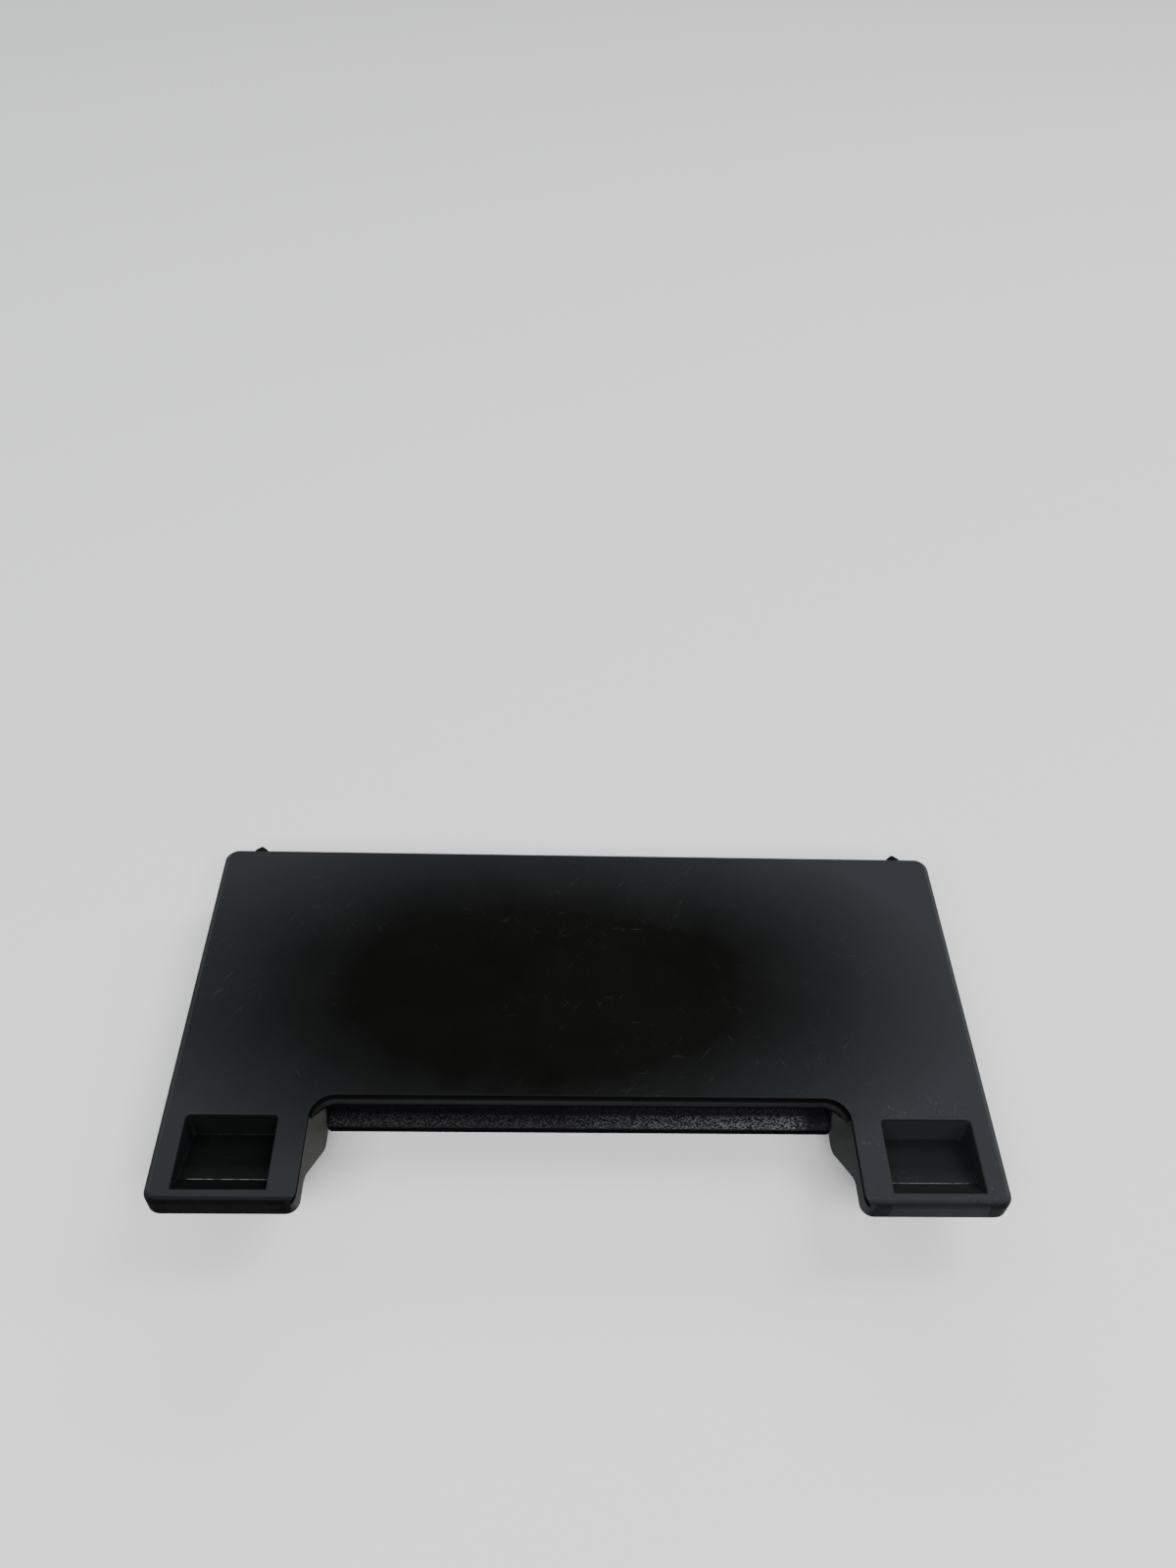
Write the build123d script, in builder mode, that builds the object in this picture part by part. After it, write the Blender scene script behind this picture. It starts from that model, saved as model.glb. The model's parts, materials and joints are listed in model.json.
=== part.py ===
"""Flatbed counter scanner: a low base with a scan bed under a hinged, flat lid shell.

Millimetres, +Z up, +X to the right, +Y to the back. The origin is the middle of the footprint
on the surface that the feet stand on. Each piece is one STEP file in parts/.
"""
import os
from math import acos, cos, pi, radians, sin, tan

from build123d import *

# ---------------------------------------------------------------- overall
width = 292.0
lid_depth = 153.5
height = 34.0
nub_reach = 2.0                 # hinge nubs behind the lid's back edge
nub_drop = 1.6                  # top of the nubs under the deck
nub_height = 2.4
foot_height = 2.5
fit = 0.05                      # running fit of a shaft in its hole, on the radius
gap = 0.3                       # between pieces that pass each other

lid_front = -(lid_depth + nub_reach) / 2
lid_back = lid_front + lid_depth
lid_mid = (lid_front + lid_back) / 2

# ---------------------------------------------------------------- lid shell
deck = 2.5                      # thickness of the flat top
wall = 2.0
corner = 5.2
bevel = 2.2
front_drop = 8.5                # height of the lid's rim, front, sides and back
root_drop = 21.5                # height of the arms where they leave the notch
root_length = 14.0              # level stretch of the arms' lower edge behind the slope
slope_length = 17.0             # sloping stretch of the arms' lower edge
slope_radius = 8.0
deck_under = height - deck
rim_bottom = height - front_drop
root_bottom = height - root_drop

arm_width = 50.8                # of one arm, at the lip
notch_half = width / 2 - arm_width
notch_depth = 40.0
notch_corner = 8.5
arm_corner = 4.5
lip = 1.4                       # thickness of the lip above the notch
lip_overhang = 2.4
lip_roll = 0.7                  # rounding of the lip's upper edge
cheek_inset = 1.6               # cheeks start this far under the lip
cheek_lean = 0.265              # cheeks lean into the notch by this much per unit of depth
notch_back = lid_front + notch_depth
skirt_face = notch_back + lip_overhang
root_back = skirt_face + wall
band_thickness = 1.3
band_drop = 9.6                 # bottom of the grip band under the deck
lip_under = height - lip

well_side = 8.7                 # from the lid's side to the well
well_width = 31.8
well_x = width / 2 - well_side - well_width / 2
well_length = 27.3
well_margin = 4.8               # from the front of the lid to the well's front rim
well_corner = 1.5
well_wall = 1.8
well_rim = 0.6
crease_run = 6.4                # from the front rim back to the crease in the floor
crease_drop = 6.5
well_drop = 14.5                # deepest, at the back wall
well_front = lid_front + well_margin
well_back = well_front + well_length

# ---------------------------------------------------------------- base
lid_side_gap = 2.0              # lid rim to bed frame
base_front_gap = 0.75           # arm roots to base
base_half = width / 2 - wall - lid_side_gap
base_front = root_back + base_front_gap
hinge_room = 10.75              # from the base's back to the lid's back edge
base_back = lid_back - hinge_room
base_mid = (base_front + base_back) / 2
base_length = base_back - base_front
base_corner = 4.0
base_wall = 2.2
base_floor = 2.2
base_bevel = 1.6
floor_top = foot_height + base_floor

pad_thickness = 3.0
sheet_thickness = 0.4
glass = 2.5
glass_top = deck_under - pad_thickness - sheet_thickness - gap
glass_under = glass_top - glass
frame_thickness = 5.0
frame_under = glass_top - frame_thickness
gasket = 0.4
glass_margin_x = 20.0           # from the side of the base to the glass
glass_margin_y = 5.8            # from its front or back to the glass
glass_x = 2 * (base_half - glass_margin_x)
glass_y = base_length - 2 * glass_margin_y
ledge = 4.0                     # width of the ledge that carries the glass
window_x = glass_x - 2 * ledge
window_y = glass_y - 2 * ledge

sill_end_gap = 0.2              # from the sill's end to the lid's cheek
sill_front = notch_back - 4.0
sill_top = height - 13.5
sill_bottom = height - 20.2

# ---------------------------------------------------------------- hinge
hinge_inset = 10.0              # from the side of the base to a hinge's middle
hinge_x = base_half - hinge_inset
ear_radius = 3.2
ear_thickness = 2.4
knuckle_half = 4.5
knuckle_radius = 3.2
pin_radius = 2.0
hinge_y = lid_back - wall - ear_radius - 0.6
hinge_z = deck_under - ear_radius - 0.8
ear_inside = knuckle_half + gap

# ---------------------------------------------------------------- drive
home_inset = 38.0               # from the left of the base to the carriage's home
far_inset = 56.0                # from its far end to the right of the base
home_x = home_inset - base_half
travel = base_half - far_inset - home_x
rod_radius = 3.0
bush_wall = 1.0
block_depth = 2 * (rod_radius + bush_wall + 0.5)     # carriage's bearing block, along Y
block_reach = rod_radius + bush_wall + 1.0           # its height above and below the rod
rod_y = base_back - base_wall - 2 * gap - block_depth / 2
block_front = rod_y - block_depth / 2
rod_z = 10.5
belt_clear = 9.2                # from the bearing block to the pulleys' middle
belt_y = block_front - belt_clear
belt_width = 4.0
belt_thickness = 0.9
belt_bottom = 6.0
pulley_radius = 6.0
flange_radius = 7.6
pulley_bottom = floor_top + gap
pulley_inset = 20.0
idler_inset = 16.0
pulley_x = base_half - pulley_inset
idler_x = idler_inset - base_half
post_radius = 1.5
module = 0.8
gear_teeth = 36
pinion_teeth = 12
gear_face = 3.0
gear_bottom = 16.4
hub_radius = 4.5
gear_distance = module * (gear_teeth + pinion_teeth) / 2
motor_radius = 10.0
motor_height = 10.6
motor_x = pulley_x
motor_y = belt_y - gear_distance
motor_bottom = floor_top
belt_inner = pulley_radius + 0.2
belt_outer = belt_inner + belt_thickness

# ---------------------------------------------------------------- carriage and sensor bar
sensor_end_gap = 0.5             # from the sensor bar's end to the bearing block
sensor_length = 2 * (block_front - sensor_end_gap - base_mid)
sensor_width = 18.0
sensor_bottom = 14.6
sensor_top = glass_under - 0.6
tray_half = 12.0
tray_bottom = 11.6
tray_floor = 1.6
tray_wall = 1.8
tray_height = 6.5
tray_front = base_mid - sensor_length / 2 - tray_wall - gap
block_half = 14.0
rail_top = 9.0
rail_width = 4.0
rail_y = tray_front + 1.0

# ---------------------------------------------------------------- main board
board_side = 10.0               # from the right of the base to the board
board_width = 31.0
board_x1 = base_half - board_side
board_x0 = board_x1 - board_width
board_y0 = base_front + base_wall + 2.0
board_y1 = motor_y - motor_radius - 6.8
board_bottom = 7.0
board_thickness = 1.6
board_top = board_bottom + board_thickness


def save(part, name):
    """Label one finished piece and write it as its own STEP file."""
    part.label = name
    export_step(part, f"parts/{name}.step")


def notch_outline(half, back, inner_radius, outer_radius, front):
    """Sketch the notch: straight sides, rounded inside corners, arms rounded at the front."""
    with BuildSketch() as outline:
        with BuildLine():
            Polyline(
                (-half - 12, front - 12),
                (-half - 12, front),
                (-half, front),
                (-half, back),
                (half, back),
                (half, front),
                (half + 12, front),
                (half + 12, front - 12),
                close=True,
            )
        make_face()
        inside = [v for v in outline.vertices() if abs(v.Y - back) < 0.01]
        fillet(inside, radius=inner_radius)
        arms = [v for v in outline.vertices() if abs(v.Y - front) < 0.01 and abs(v.X) < half + 1]
        fillet(arms, radius=outer_radius)
    return outline.sketch


def cheek_half(level):
    """Half the notch's width between the leaning cheeks at a height above the table."""
    return notch_half + cheek_inset - cheek_lean * (lip_under - level)


def involute(angle):
    """Involute function of a pressure angle."""
    return tan(angle) - angle


def gear_points(teeth, thinning, tooth_shift=0.0):
    """Corner points of a spur gear's outline, involute flanks, centred on the origin."""
    pitch = module * teeth / 2
    base = pitch * cos(radians(20))
    tip = pitch + 0.85 * module
    root = pitch - 1.2 * module
    half = pi / (2 * teeth) - thinning / (2 * pitch)
    flank = []
    for step in range(5):
        radius = max(base, root + 0.2) + (tip - max(base, root + 0.2)) * step / 4
        flank.append((radius, half + involute(radians(20)) - involute(acos(base / radius))))
    side = [(root, flank[0][1])] + flank
    points = []
    for tooth in range(teeth):
        middle = 2 * pi * (tooth + tooth_shift) / teeth
        for radius, angle in side:
            points.append((radius * cos(middle - angle), radius * sin(middle - angle)))
        for radius, angle in reversed(side):
            points.append((radius * cos(middle + angle), radius * sin(middle + angle)))
    return points


os.makedirs("parts", exist_ok=True)

# ================================================================ lid
# The space under the deck: inside the rim, outside the notch's own wall.
with BuildPart() as lid_cavity:
    with BuildSketch(Plane.XY.offset(root_bottom - 1)):
        with Locations((0, lid_mid)):
            RectangleRounded(width - 2 * wall, lid_depth - 2 * wall, corner - wall)
    extrude(amount=deck_under - root_bottom + 1)
    with BuildSketch(Plane.XY.offset(root_bottom - 1)):
        add(notch_outline(cheek_half(root_bottom - 1) + wall, root_back, notch_corner + wall,
                          arm_corner - wall, lid_front + wall))
    with BuildSketch(Plane.XY.offset(deck_under)):
        add(notch_outline(cheek_half(deck_under) + wall, root_back, notch_corner + wall,
                          arm_corner - wall, lid_front + wall))
    loft(mode=Mode.SUBTRACT)

slope_front = root_back - root_length - slope_length
with BuildPart() as lid_shell:
    with BuildSketch(Plane.XY.offset(root_bottom)):
        with Locations((0, lid_mid)):
            RectangleRounded(width, lid_depth, corner)
    extrude(amount=height - root_bottom)
    chamfer(lid_shell.edges().group_by(Axis.Z)[-1], length=bevel)
    # lower edge of the arms: level at the front, sloping down to their deep roots
    with BuildSketch(Plane.YZ.offset(-width / 2 - 1)):
        with BuildLine():
            FilletPolyline(
                (lid_front - 1, rim_bottom),
                (slope_front, rim_bottom),
                (slope_front + slope_length, root_bottom),
                (root_back - 1, root_bottom),
                radius=slope_radius,
            )
            Polyline(
                (root_back - 1, root_bottom),
                (root_back - 1, root_bottom - 1),
                (lid_front - 1, root_bottom - 1),
                (lid_front - 1, rim_bottom),
            )
        make_face()
    extrude(amount=width + 2, mode=Mode.SUBTRACT)
    with BuildSketch(Plane.XY.offset(root_bottom - 1)):
        with Locations((0, (root_back + lid_back + 1) / 2)):
            Rectangle(width + 2, lid_back + 1 - root_back)
    extrude(amount=rim_bottom - root_bottom + 1, mode=Mode.SUBTRACT)
    # the notch between the leaning cheeks, then the lip above it
    with BuildSketch(Plane.XY.offset(root_bottom - 1)):
        add(notch_outline(cheek_half(root_bottom - 1), skirt_face, notch_corner, arm_corner,
                          lid_front))
    with BuildSketch(Plane.XY.offset(lip_under)):
        add(notch_outline(cheek_half(lip_under), skirt_face, notch_corner, arm_corner, lid_front))
    loft(mode=Mode.SUBTRACT)
    with BuildSketch(Plane.XY.offset(lip_under)):
        add(notch_outline(notch_half, notch_back, notch_corner, arm_corner, lid_front))
    extrude(amount=lip + 1, mode=Mode.SUBTRACT)
    add(lid_cavity.part, mode=Mode.SUBTRACT)
    # back walls of the arm roots
    for side in (-1, 1):
        with BuildSketch(Plane.XY.offset(root_bottom)):
            with Locations((side * (cheek_half(root_bottom) + width / 2 - wall) / 2,
                            root_back - wall / 2)):
                Rectangle(width / 2 - wall - cheek_half(root_bottom), wall)
        extrude(amount=deck_under - root_bottom)
    # room for the sill under the notch's skirt
    sill_room = wall + 0.5 + notch_corner
    with BuildSketch(Plane.XY.offset(root_bottom - 1)):
        with Locations((0, root_back + 0.5 - sill_room / 2)):
            Rectangle(2 * cheek_half(root_bottom), sill_room)
    extrude(amount=height - band_drop - root_bottom + 1, mode=Mode.SUBTRACT)
    # wells in the arms
    for side in (-1, 1):
        with BuildSketch(Plane.YZ.offset(side * well_x - well_width / 2 - well_wall)):
            with BuildLine():
                Polyline(
                    (well_front - well_wall, deck_under),
                    (well_front - well_wall, height - well_wall - 1),
                    (well_front + crease_run - 1, height - crease_drop - well_wall),
                    (well_back + well_wall, height - well_drop - well_wall),
                    (well_back + well_wall, deck_under),
                    close=True,
                )
            make_face()
        extrude(amount=well_width + 2 * well_wall)
        with BuildSketch(Plane.YZ.offset(side * well_x - well_width / 2)):
            with BuildLine():
                Polyline(
                    (well_front, height + 1),
                    (well_front, height - 1),
                    (well_front + crease_run, height - crease_drop),
                    (well_back, height - well_drop),
                    (well_back, height + 1),
                    close=True,
                )
            make_face()
        extrude(amount=well_width, mode=Mode.SUBTRACT)
    well_corners = [
        e
        for e in lid_shell.edges().filter_by(Axis.Z)
        if abs(e.center().Z - height) < well_drop
        and abs(abs(abs(e.center().X) - well_x) - well_width / 2) < 0.01
        and abs(e.center().Y - well_back) < 0.01
    ]
    fillet(well_corners, radius=well_corner)
    well_rims = [
        e
        for e in lid_shell.edges()
        if abs(e.bounding_box().min.Z - height) < 0.01
        and abs(abs(e.center().X) - well_x) < well_width / 2 + 0.1
        and well_front - 0.1 < e.center().Y < well_back + 0.1
    ]
    fillet(well_rims, radius=well_rim)
    lip_edges = [
        e
        for e in lid_shell.edges()
        if abs(e.bounding_box().min.Z - height) < 0.01
        and abs(e.center().X) < notch_half + 0.1
        and e.center().Y < notch_back + 0.1
    ]
    fillet(lip_edges, radius=lip_roll)
    # knuckles that turn on the hinge pins, and the nubs behind them
    for side in (-1, 1):
        with BuildSketch(Plane.YZ.offset(side * hinge_x - knuckle_half)):
            with Locations((hinge_y, hinge_z)):
                Circle(knuckle_radius)
            with Locations((hinge_y, (hinge_z + deck_under) / 2)):
                Rectangle(2 * knuckle_radius, deck_under - hinge_z)
        extrude(amount=2 * knuckle_half)
        with BuildSketch(Plane.YZ.offset(side * hinge_x - knuckle_half)):
            with Locations((hinge_y, hinge_z)):
                Circle(pin_radius + fit)
        extrude(amount=2 * knuckle_half, mode=Mode.SUBTRACT)
        with BuildSketch(Plane.XY.offset(height - nub_drop - nub_height)):
            with BuildLine():
                Polyline(
                    (side * hinge_x - 2.6, lid_back - wall),
                    (side * hinge_x - 2.6, lid_back),
                    (side * hinge_x, lid_back + nub_reach),
                    (side * hinge_x + 2.6, lid_back),
                    (side * hinge_x + 2.6, lid_back - wall),
                    close=True,
                )
            make_face()
        extrude(amount=nub_height)
save(lid_shell.part, "lid_shell")

# The glossy strip that fingers pull on, bonded to the skirt under the lip.
# the band's outer side stays within the cheek's wall all the way down
band_half = min(cheek_half(lip_under), cheek_half(height - band_drop) + wall) - 0.2
with BuildPart() as grip_band:
    with BuildSketch(Plane.XY.offset(height - band_drop)):
        add(notch_outline(band_half, skirt_face, notch_corner, arm_corner, lid_front))
        add(notch_outline(notch_half + 0.2, skirt_face - band_thickness, notch_corner, arm_corner,
                          lid_front), mode=Mode.SUBTRACT)
        with Locations((0, lid_front - 20 + notch_depth / 2)):
            Rectangle(width, notch_depth + 28, mode=Mode.SUBTRACT)
    extrude(amount=lip_under - height + band_drop)
    add(lid_shell.part, mode=Mode.SUBTRACT)
save(grip_band.part, "grip_band")

pad_inset = 1.0
with BuildPart() as lid_foam_pad:
    with BuildSketch(Plane.XY.offset(deck_under)):
        with Locations((0, base_mid)):
            RectangleRounded(window_x - pad_inset, window_y - pad_inset, 3)
    extrude(amount=-pad_thickness)
save(lid_foam_pad.part, "lid_foam_pad")

with BuildPart() as lid_white_sheet:
    with BuildSketch(Plane.XY.offset(deck_under - pad_thickness)):
        with Locations((0, base_mid)):
            RectangleRounded(window_x - pad_inset, window_y - pad_inset, 3)
    extrude(amount=-sheet_thickness)
save(lid_white_sheet.part, "lid_white_sheet")

# ================================================================ base
post_outer = 3.6
post_x = base_half - base_wall - post_outer + 1.0
front_post_y = base_front + 6.0
screw_posts = [(-post_x, front_post_y), (post_x, front_post_y),
               (-post_x, base_mid + 5.8), (post_x, board_y1 + 4.5)]
screw_hole = 1.7
head_radius = 2.8
head_height = 2.0
socket_y = board_y1 - 17.0
socket_width = 14.0
socket_height = 12.4
socket_depth = 15.0
foot_radius = 7.0
foot_x = base_half - 14.0
foot_places = [(x, y) for x in (-foot_x, foot_x) for y in (base_front + 12, base_back - 11)]
foot_peg = 2.2

with BuildPart() as base_tub:
    with BuildSketch(Plane.XY.offset(foot_height)):
        with Locations((0, base_mid)):
            RectangleRounded(2 * base_half, base_length, base_corner)
    extrude(amount=frame_under - foot_height)
    chamfer(base_tub.edges().group_by(Axis.Z)[0], length=base_bevel)
    with BuildSketch(Plane.XY.offset(floor_top)):
        with Locations((0, base_mid)):
            RectangleRounded(2 * (base_half - base_wall), base_length - 2 * base_wall,
                             base_corner - base_wall)
    extrude(amount=frame_under - floor_top, mode=Mode.SUBTRACT)
    with BuildSketch(Plane.XY.offset(floor_top)):
        with Locations(screw_posts):
            Circle(post_outer)
    extrude(amount=frame_under - floor_top)
    with BuildSketch(Plane.XY.offset(foot_height)):
        with Locations(screw_posts):
            Circle(screw_hole)
    extrude(amount=frame_under - foot_height, mode=Mode.SUBTRACT)
    with BuildSketch(Plane.XY.offset(foot_height)):
        with Locations(screw_posts):
            Circle(head_radius + gap)
    extrude(amount=head_height + 0.4, mode=Mode.SUBTRACT)
    # front rail that the carriage's foot slides on
    with BuildSketch(Plane.XY.offset(floor_top)):
        with Locations(((home_x + home_x + travel) / 2, rail_y)):
            Rectangle(travel + 2 * tray_half + 4, rail_width)
    extrude(amount=rail_top - floor_top)
    # cut-out for the data socket in the right wall
    with BuildSketch(Plane.YZ.offset(base_half - base_wall - 1)):
        with Locations((socket_y, board_top + socket_height / 2)):
            Rectangle(socket_width + 2 * gap, socket_height + 2 * gap)
    extrude(amount=base_wall + 2, mode=Mode.SUBTRACT)
    with BuildSketch(Plane.XY.offset(foot_height)):
        with Locations(foot_places):
            Circle(foot_peg + fit)
    extrude(amount=base_floor, mode=Mode.SUBTRACT)
save(base_tub.part, "base_tub")

sill_half = cheek_half(root_bottom) - sill_end_gap
with BuildPart() as front_sill:
    with BuildSketch(Plane.XY.offset(sill_bottom)):
        with Locations((0, (sill_front + base_front) / 2)):
            Rectangle(2 * sill_half, base_front - sill_front)
    extrude(amount=sill_top - sill_bottom)
    fillet(front_sill.edges().filter_by(Axis.Z).group_by(Axis.Y)[0], radius=1.5)
    fillet(front_sill.faces().sort_by(Axis.Y)[0].edges().filter_by(Axis.X).sort_by(Axis.Z)[-1],
           radius=2.0)
    fillet(front_sill.faces().sort_by(Axis.Y)[0].edges().filter_by(Axis.X).sort_by(Axis.Z)[0],
           radius=1.2)
save(front_sill.part, "front_sill")

bumper_radius = 3.5
bumper_x = base_half - 12.0
bumper_places = [(x, y) for x in (-bumper_x, bumper_x) for y in (base_front + 8, base_back - 14)]
bumper_sink = 1.0
with BuildPart() as bed_frame:
    with BuildSketch(Plane.XY.offset(frame_under)):
        with Locations((0, base_mid)):
            RectangleRounded(2 * base_half, base_length, base_corner)
            Rectangle(window_x, window_y, mode=Mode.SUBTRACT)
    extrude(amount=frame_thickness)
    fillet(bed_frame.faces().sort_by(Axis.Z)[-1].outer_wire().edges(), radius=1.0)
    with BuildSketch(Plane.XY.offset(glass_under - gasket)):
        with Locations((0, base_mid)):
            RectangleRounded(glass_x + 2 * gap, glass_y + 2 * gap, 1.5)
    extrude(amount=glass + gasket, mode=Mode.SUBTRACT)
    with BuildSketch(Plane.XY.offset(frame_under)):
        with Locations(screw_posts):
            Circle(post_radius + fit)
    extrude(amount=frame_thickness - 1.2, mode=Mode.SUBTRACT)
    with BuildSketch(Plane.XY.offset(glass_top - bumper_sink)):
        with Locations(bumper_places):
            Circle(bumper_radius + fit)
    extrude(amount=bumper_sink, mode=Mode.SUBTRACT)
save(bed_frame.part, "bed_frame")

with BuildPart() as glass_gasket:
    with BuildSketch(Plane.XY.offset(glass_under - gasket)):
        with Locations((0, base_mid)):
            RectangleRounded(glass_x, glass_y, 1.2)
            Rectangle(window_x, window_y, mode=Mode.SUBTRACT)
    extrude(amount=gasket)
save(glass_gasket.part, "glass_gasket")

with BuildPart() as scan_glass:
    with BuildSketch(Plane.XY.offset(glass_under)):
        with Locations((0, base_mid)):
            RectangleRounded(glass_x, glass_y, 1.2)
    extrude(amount=glass)
    chamfer(scan_glass.edges().group_by(Axis.Z)[-1], length=0.3)
save(scan_glass.part, "scan_glass")

strip_width = 12.0
with BuildPart() as calibration_strip:
    with BuildSketch(Plane.XY.offset(glass_under)):
        with Locations((-window_x / 2 + strip_width / 2 + 1, base_mid)):
            Rectangle(strip_width, sensor_length - 12)
    extrude(amount=-gap)
save(calibration_strip.part, "calibration_strip")

bumper_height = deck_under - glass_top - 0.05
with BuildPart() as lid_bumpers:
    with BuildSketch(Plane.XY.offset(glass_top - bumper_sink)):
        with Locations(bumper_places):
            Circle(bumper_radius)
    extrude(amount=bumper_sink + bumper_height)
    fillet(lid_bumpers.edges().group_by(Axis.Z)[-1], radius=1.0)
save(lid_bumpers.part, "lid_bumpers")

with BuildPart() as rubber_feet:
    with BuildSketch():
        with Locations(foot_places):
            Circle(foot_radius)
    extrude(amount=foot_height)
    chamfer(rubber_feet.edges().group_by(Axis.Z)[0], length=0.6)
    with BuildSketch(Plane.XY.offset(foot_height)):
        with Locations(foot_places):
            Circle(foot_peg)
    extrude(amount=base_floor)
save(rubber_feet.part, "rubber_feet")

screw_start = foot_height + 0.4
with BuildPart() as case_screws:
    with BuildSketch(Plane.XY.offset(screw_start)):
        with Locations(screw_posts):
            Circle(head_radius)
    extrude(amount=head_height)
    with BuildSketch(Plane.XY.offset(screw_start)):
        with Locations(screw_posts):
            RegularPolygon(1.25, 6)
    extrude(amount=1.2, mode=Mode.SUBTRACT)
    with BuildSketch(Plane.XY.offset(screw_start + head_height)):
        with Locations(screw_posts):
            Circle(post_radius)
    extrude(amount=glass_top - 1.5 - screw_start - head_height)
save(case_screws.part, "case_screws")

# ================================================================ hinge
plate_thickness = 1.2
plate_height = 14.0
plate_top = hinge_z + ear_radius
ear_under = hinge_z - 2.3
screw_radius = 1.25
bracket_screw_z = plate_top - plate_height + 4.0
for side, word in ((-1, "left"), (1, "right")):
    with BuildPart() as hinge_bracket:
        with BuildSketch(Plane.XZ.offset(-base_back)):
            with Locations((side * hinge_x - side * 3.0, plate_top - plate_height / 2)):
                RectangleRounded(2 * ear_inside + 2 * ear_thickness + 6.0, plate_height, 1.5)
        extrude(amount=-plate_thickness)
        for ear in (-1, 1):
            ear_start = side * hinge_x + ear * ear_inside - (ear < 0) * ear_thickness
            with BuildSketch(Plane.YZ.offset(ear_start)):
                with Locations((hinge_y, hinge_z)):
                    Circle(ear_radius)
                with BuildLine():
                    Polyline(
                        (base_back + 0.1, ear_under + 1.0),
                        (hinge_y, ear_under),
                        (hinge_y, plate_top),
                        (base_back + 0.1, plate_top),
                        close=True,
                    )
                make_face()
            extrude(amount=ear_thickness)
            with BuildSketch(Plane.YZ.offset(ear_start)):
                with Locations((hinge_y, hinge_z)):
                    Circle(pin_radius)
            extrude(amount=ear_thickness, mode=Mode.SUBTRACT)
        with BuildSketch(Plane.XZ.offset(-base_back)):
            with Locations((side * (hinge_x - 10.0), bracket_screw_z),
                           (side * (hinge_x + 4.0), bracket_screw_z)):
                Circle(screw_radius + fit)
        extrude(amount=-plate_thickness, mode=Mode.SUBTRACT)
    save(hinge_bracket.part, f"hinge_bracket_{word}")

pin_half = ear_inside + ear_thickness
with BuildPart() as hinge_pins:
    for side in (-1, 1):
        with BuildSketch(Plane.YZ.offset(side * hinge_x - pin_half)):
            with Locations((hinge_y, hinge_z)):
                Circle(pin_radius)
        extrude(amount=2 * pin_half)
        with BuildSketch(Plane.YZ.offset(side * (hinge_x + pin_half))):
            with Locations((hinge_y, hinge_z)):
                Circle(pin_radius + 0.8)
        extrude(amount=side * 0.8)
save(hinge_pins.part, "hinge_pins")

with BuildPart() as hinge_screws:
    for side in (-1, 1):
        places = [(side * (hinge_x - 10.0), bracket_screw_z),
                  (side * (hinge_x + 4.0), bracket_screw_z)]
        with BuildSketch(Plane.XZ.offset(-base_back - plate_thickness)):
            with Locations(places):
                Circle(2.2)
        extrude(amount=-1.0)
        with BuildSketch(Plane.XZ.offset(-base_back)):
            with Locations(places):
                Circle(screw_radius)
        extrude(amount=-plate_thickness)
save(hinge_screws.part, "hinge_screws")

# ================================================================ scan drive, fixed pieces
clip_x = base_half - base_wall - 3.0
with BuildPart() as guide_rod:
    with BuildSketch(Plane.YZ.offset(-clip_x - 2.5)):
        with Locations((rod_y, rod_z)):
            Circle(rod_radius)
    extrude(amount=2 * clip_x + 5)
    chamfer(guide_rod.edges().filter_by(GeomType.CIRCLE), length=0.4)
save(guide_rod.part, "guide_rod")

with BuildPart() as rod_cradles:
    for side in (-1, 1):
        with BuildSketch(Plane.YZ.offset(side * clip_x - 2.0)):
            with Locations((rod_y, (floor_top + rod_z + 2.0) / 2)):
                Rectangle(2 * rod_radius + 2.6, rod_z + 2.0 - floor_top)
            with Locations((rod_y, rod_z)):
                Circle(rod_radius + fit, mode=Mode.SUBTRACT)
            with Locations((rod_y, rod_z + rod_radius)):
                Rectangle(2 * rod_radius - 1.4, 2 * rod_radius, mode=Mode.SUBTRACT)
        extrude(amount=4.0)
save(rod_cradles.part, "rod_cradles")

with BuildPart() as drive_belt:
    with BuildSketch(Plane.XY.offset(belt_bottom)):
        with Locations(((pulley_x + idler_x) / 2, belt_y)):
            SlotCenterToCenter(pulley_x - idler_x, 2 * belt_outer)
            SlotCenterToCenter(pulley_x - idler_x, 2 * belt_inner, mode=Mode.SUBTRACT)
    extrude(amount=belt_width)
save(drive_belt.part, "drive_belt")

gear_top = gear_bottom + gear_face
with BuildPart() as pulley_post:
    with BuildSketch(Plane.XY.offset(floor_top)):
        with Locations((pulley_x, belt_y)):
            Circle(post_radius)
    extrude(amount=gear_top + 1.6 - floor_top)
    with BuildSketch(Plane.XY.offset(gear_top + gap)):
        with Locations((pulley_x, belt_y)):
            Circle(post_radius + 1.2)
    extrude(amount=0.8)
save(pulley_post.part, "pulley_post")

idler_top = belt_bottom + belt_width + 2 * gap + 0.6
bracket_thickness = 1.0
with BuildPart() as idler_bracket:
    with BuildSketch(Plane.XY.offset(idler_top + gap)):
        with Locations((idler_x, belt_y - 3)):
            RectangleRounded(10.0, 26.0, 2.0)
            with Locations((0, 3)):
                Circle(post_radius + fit, mode=Mode.SUBTRACT)
    extrude(amount=bracket_thickness)
    with BuildSketch(Plane.XY.offset(floor_top)):
        with Locations((idler_x, belt_y - 14.5)):
            Rectangle(9.0, 3.0)
    extrude(amount=idler_top + gap - floor_top)
save(idler_bracket.part, "idler_bracket")

with BuildPart() as idler_pin:
    with BuildSketch(Plane.XY.offset(floor_top)):
        with Locations((idler_x, belt_y)):
            Circle(post_radius)
    extrude(amount=idler_top + gap + bracket_thickness - floor_top)
save(idler_pin.part, "idler_pin")

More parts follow.
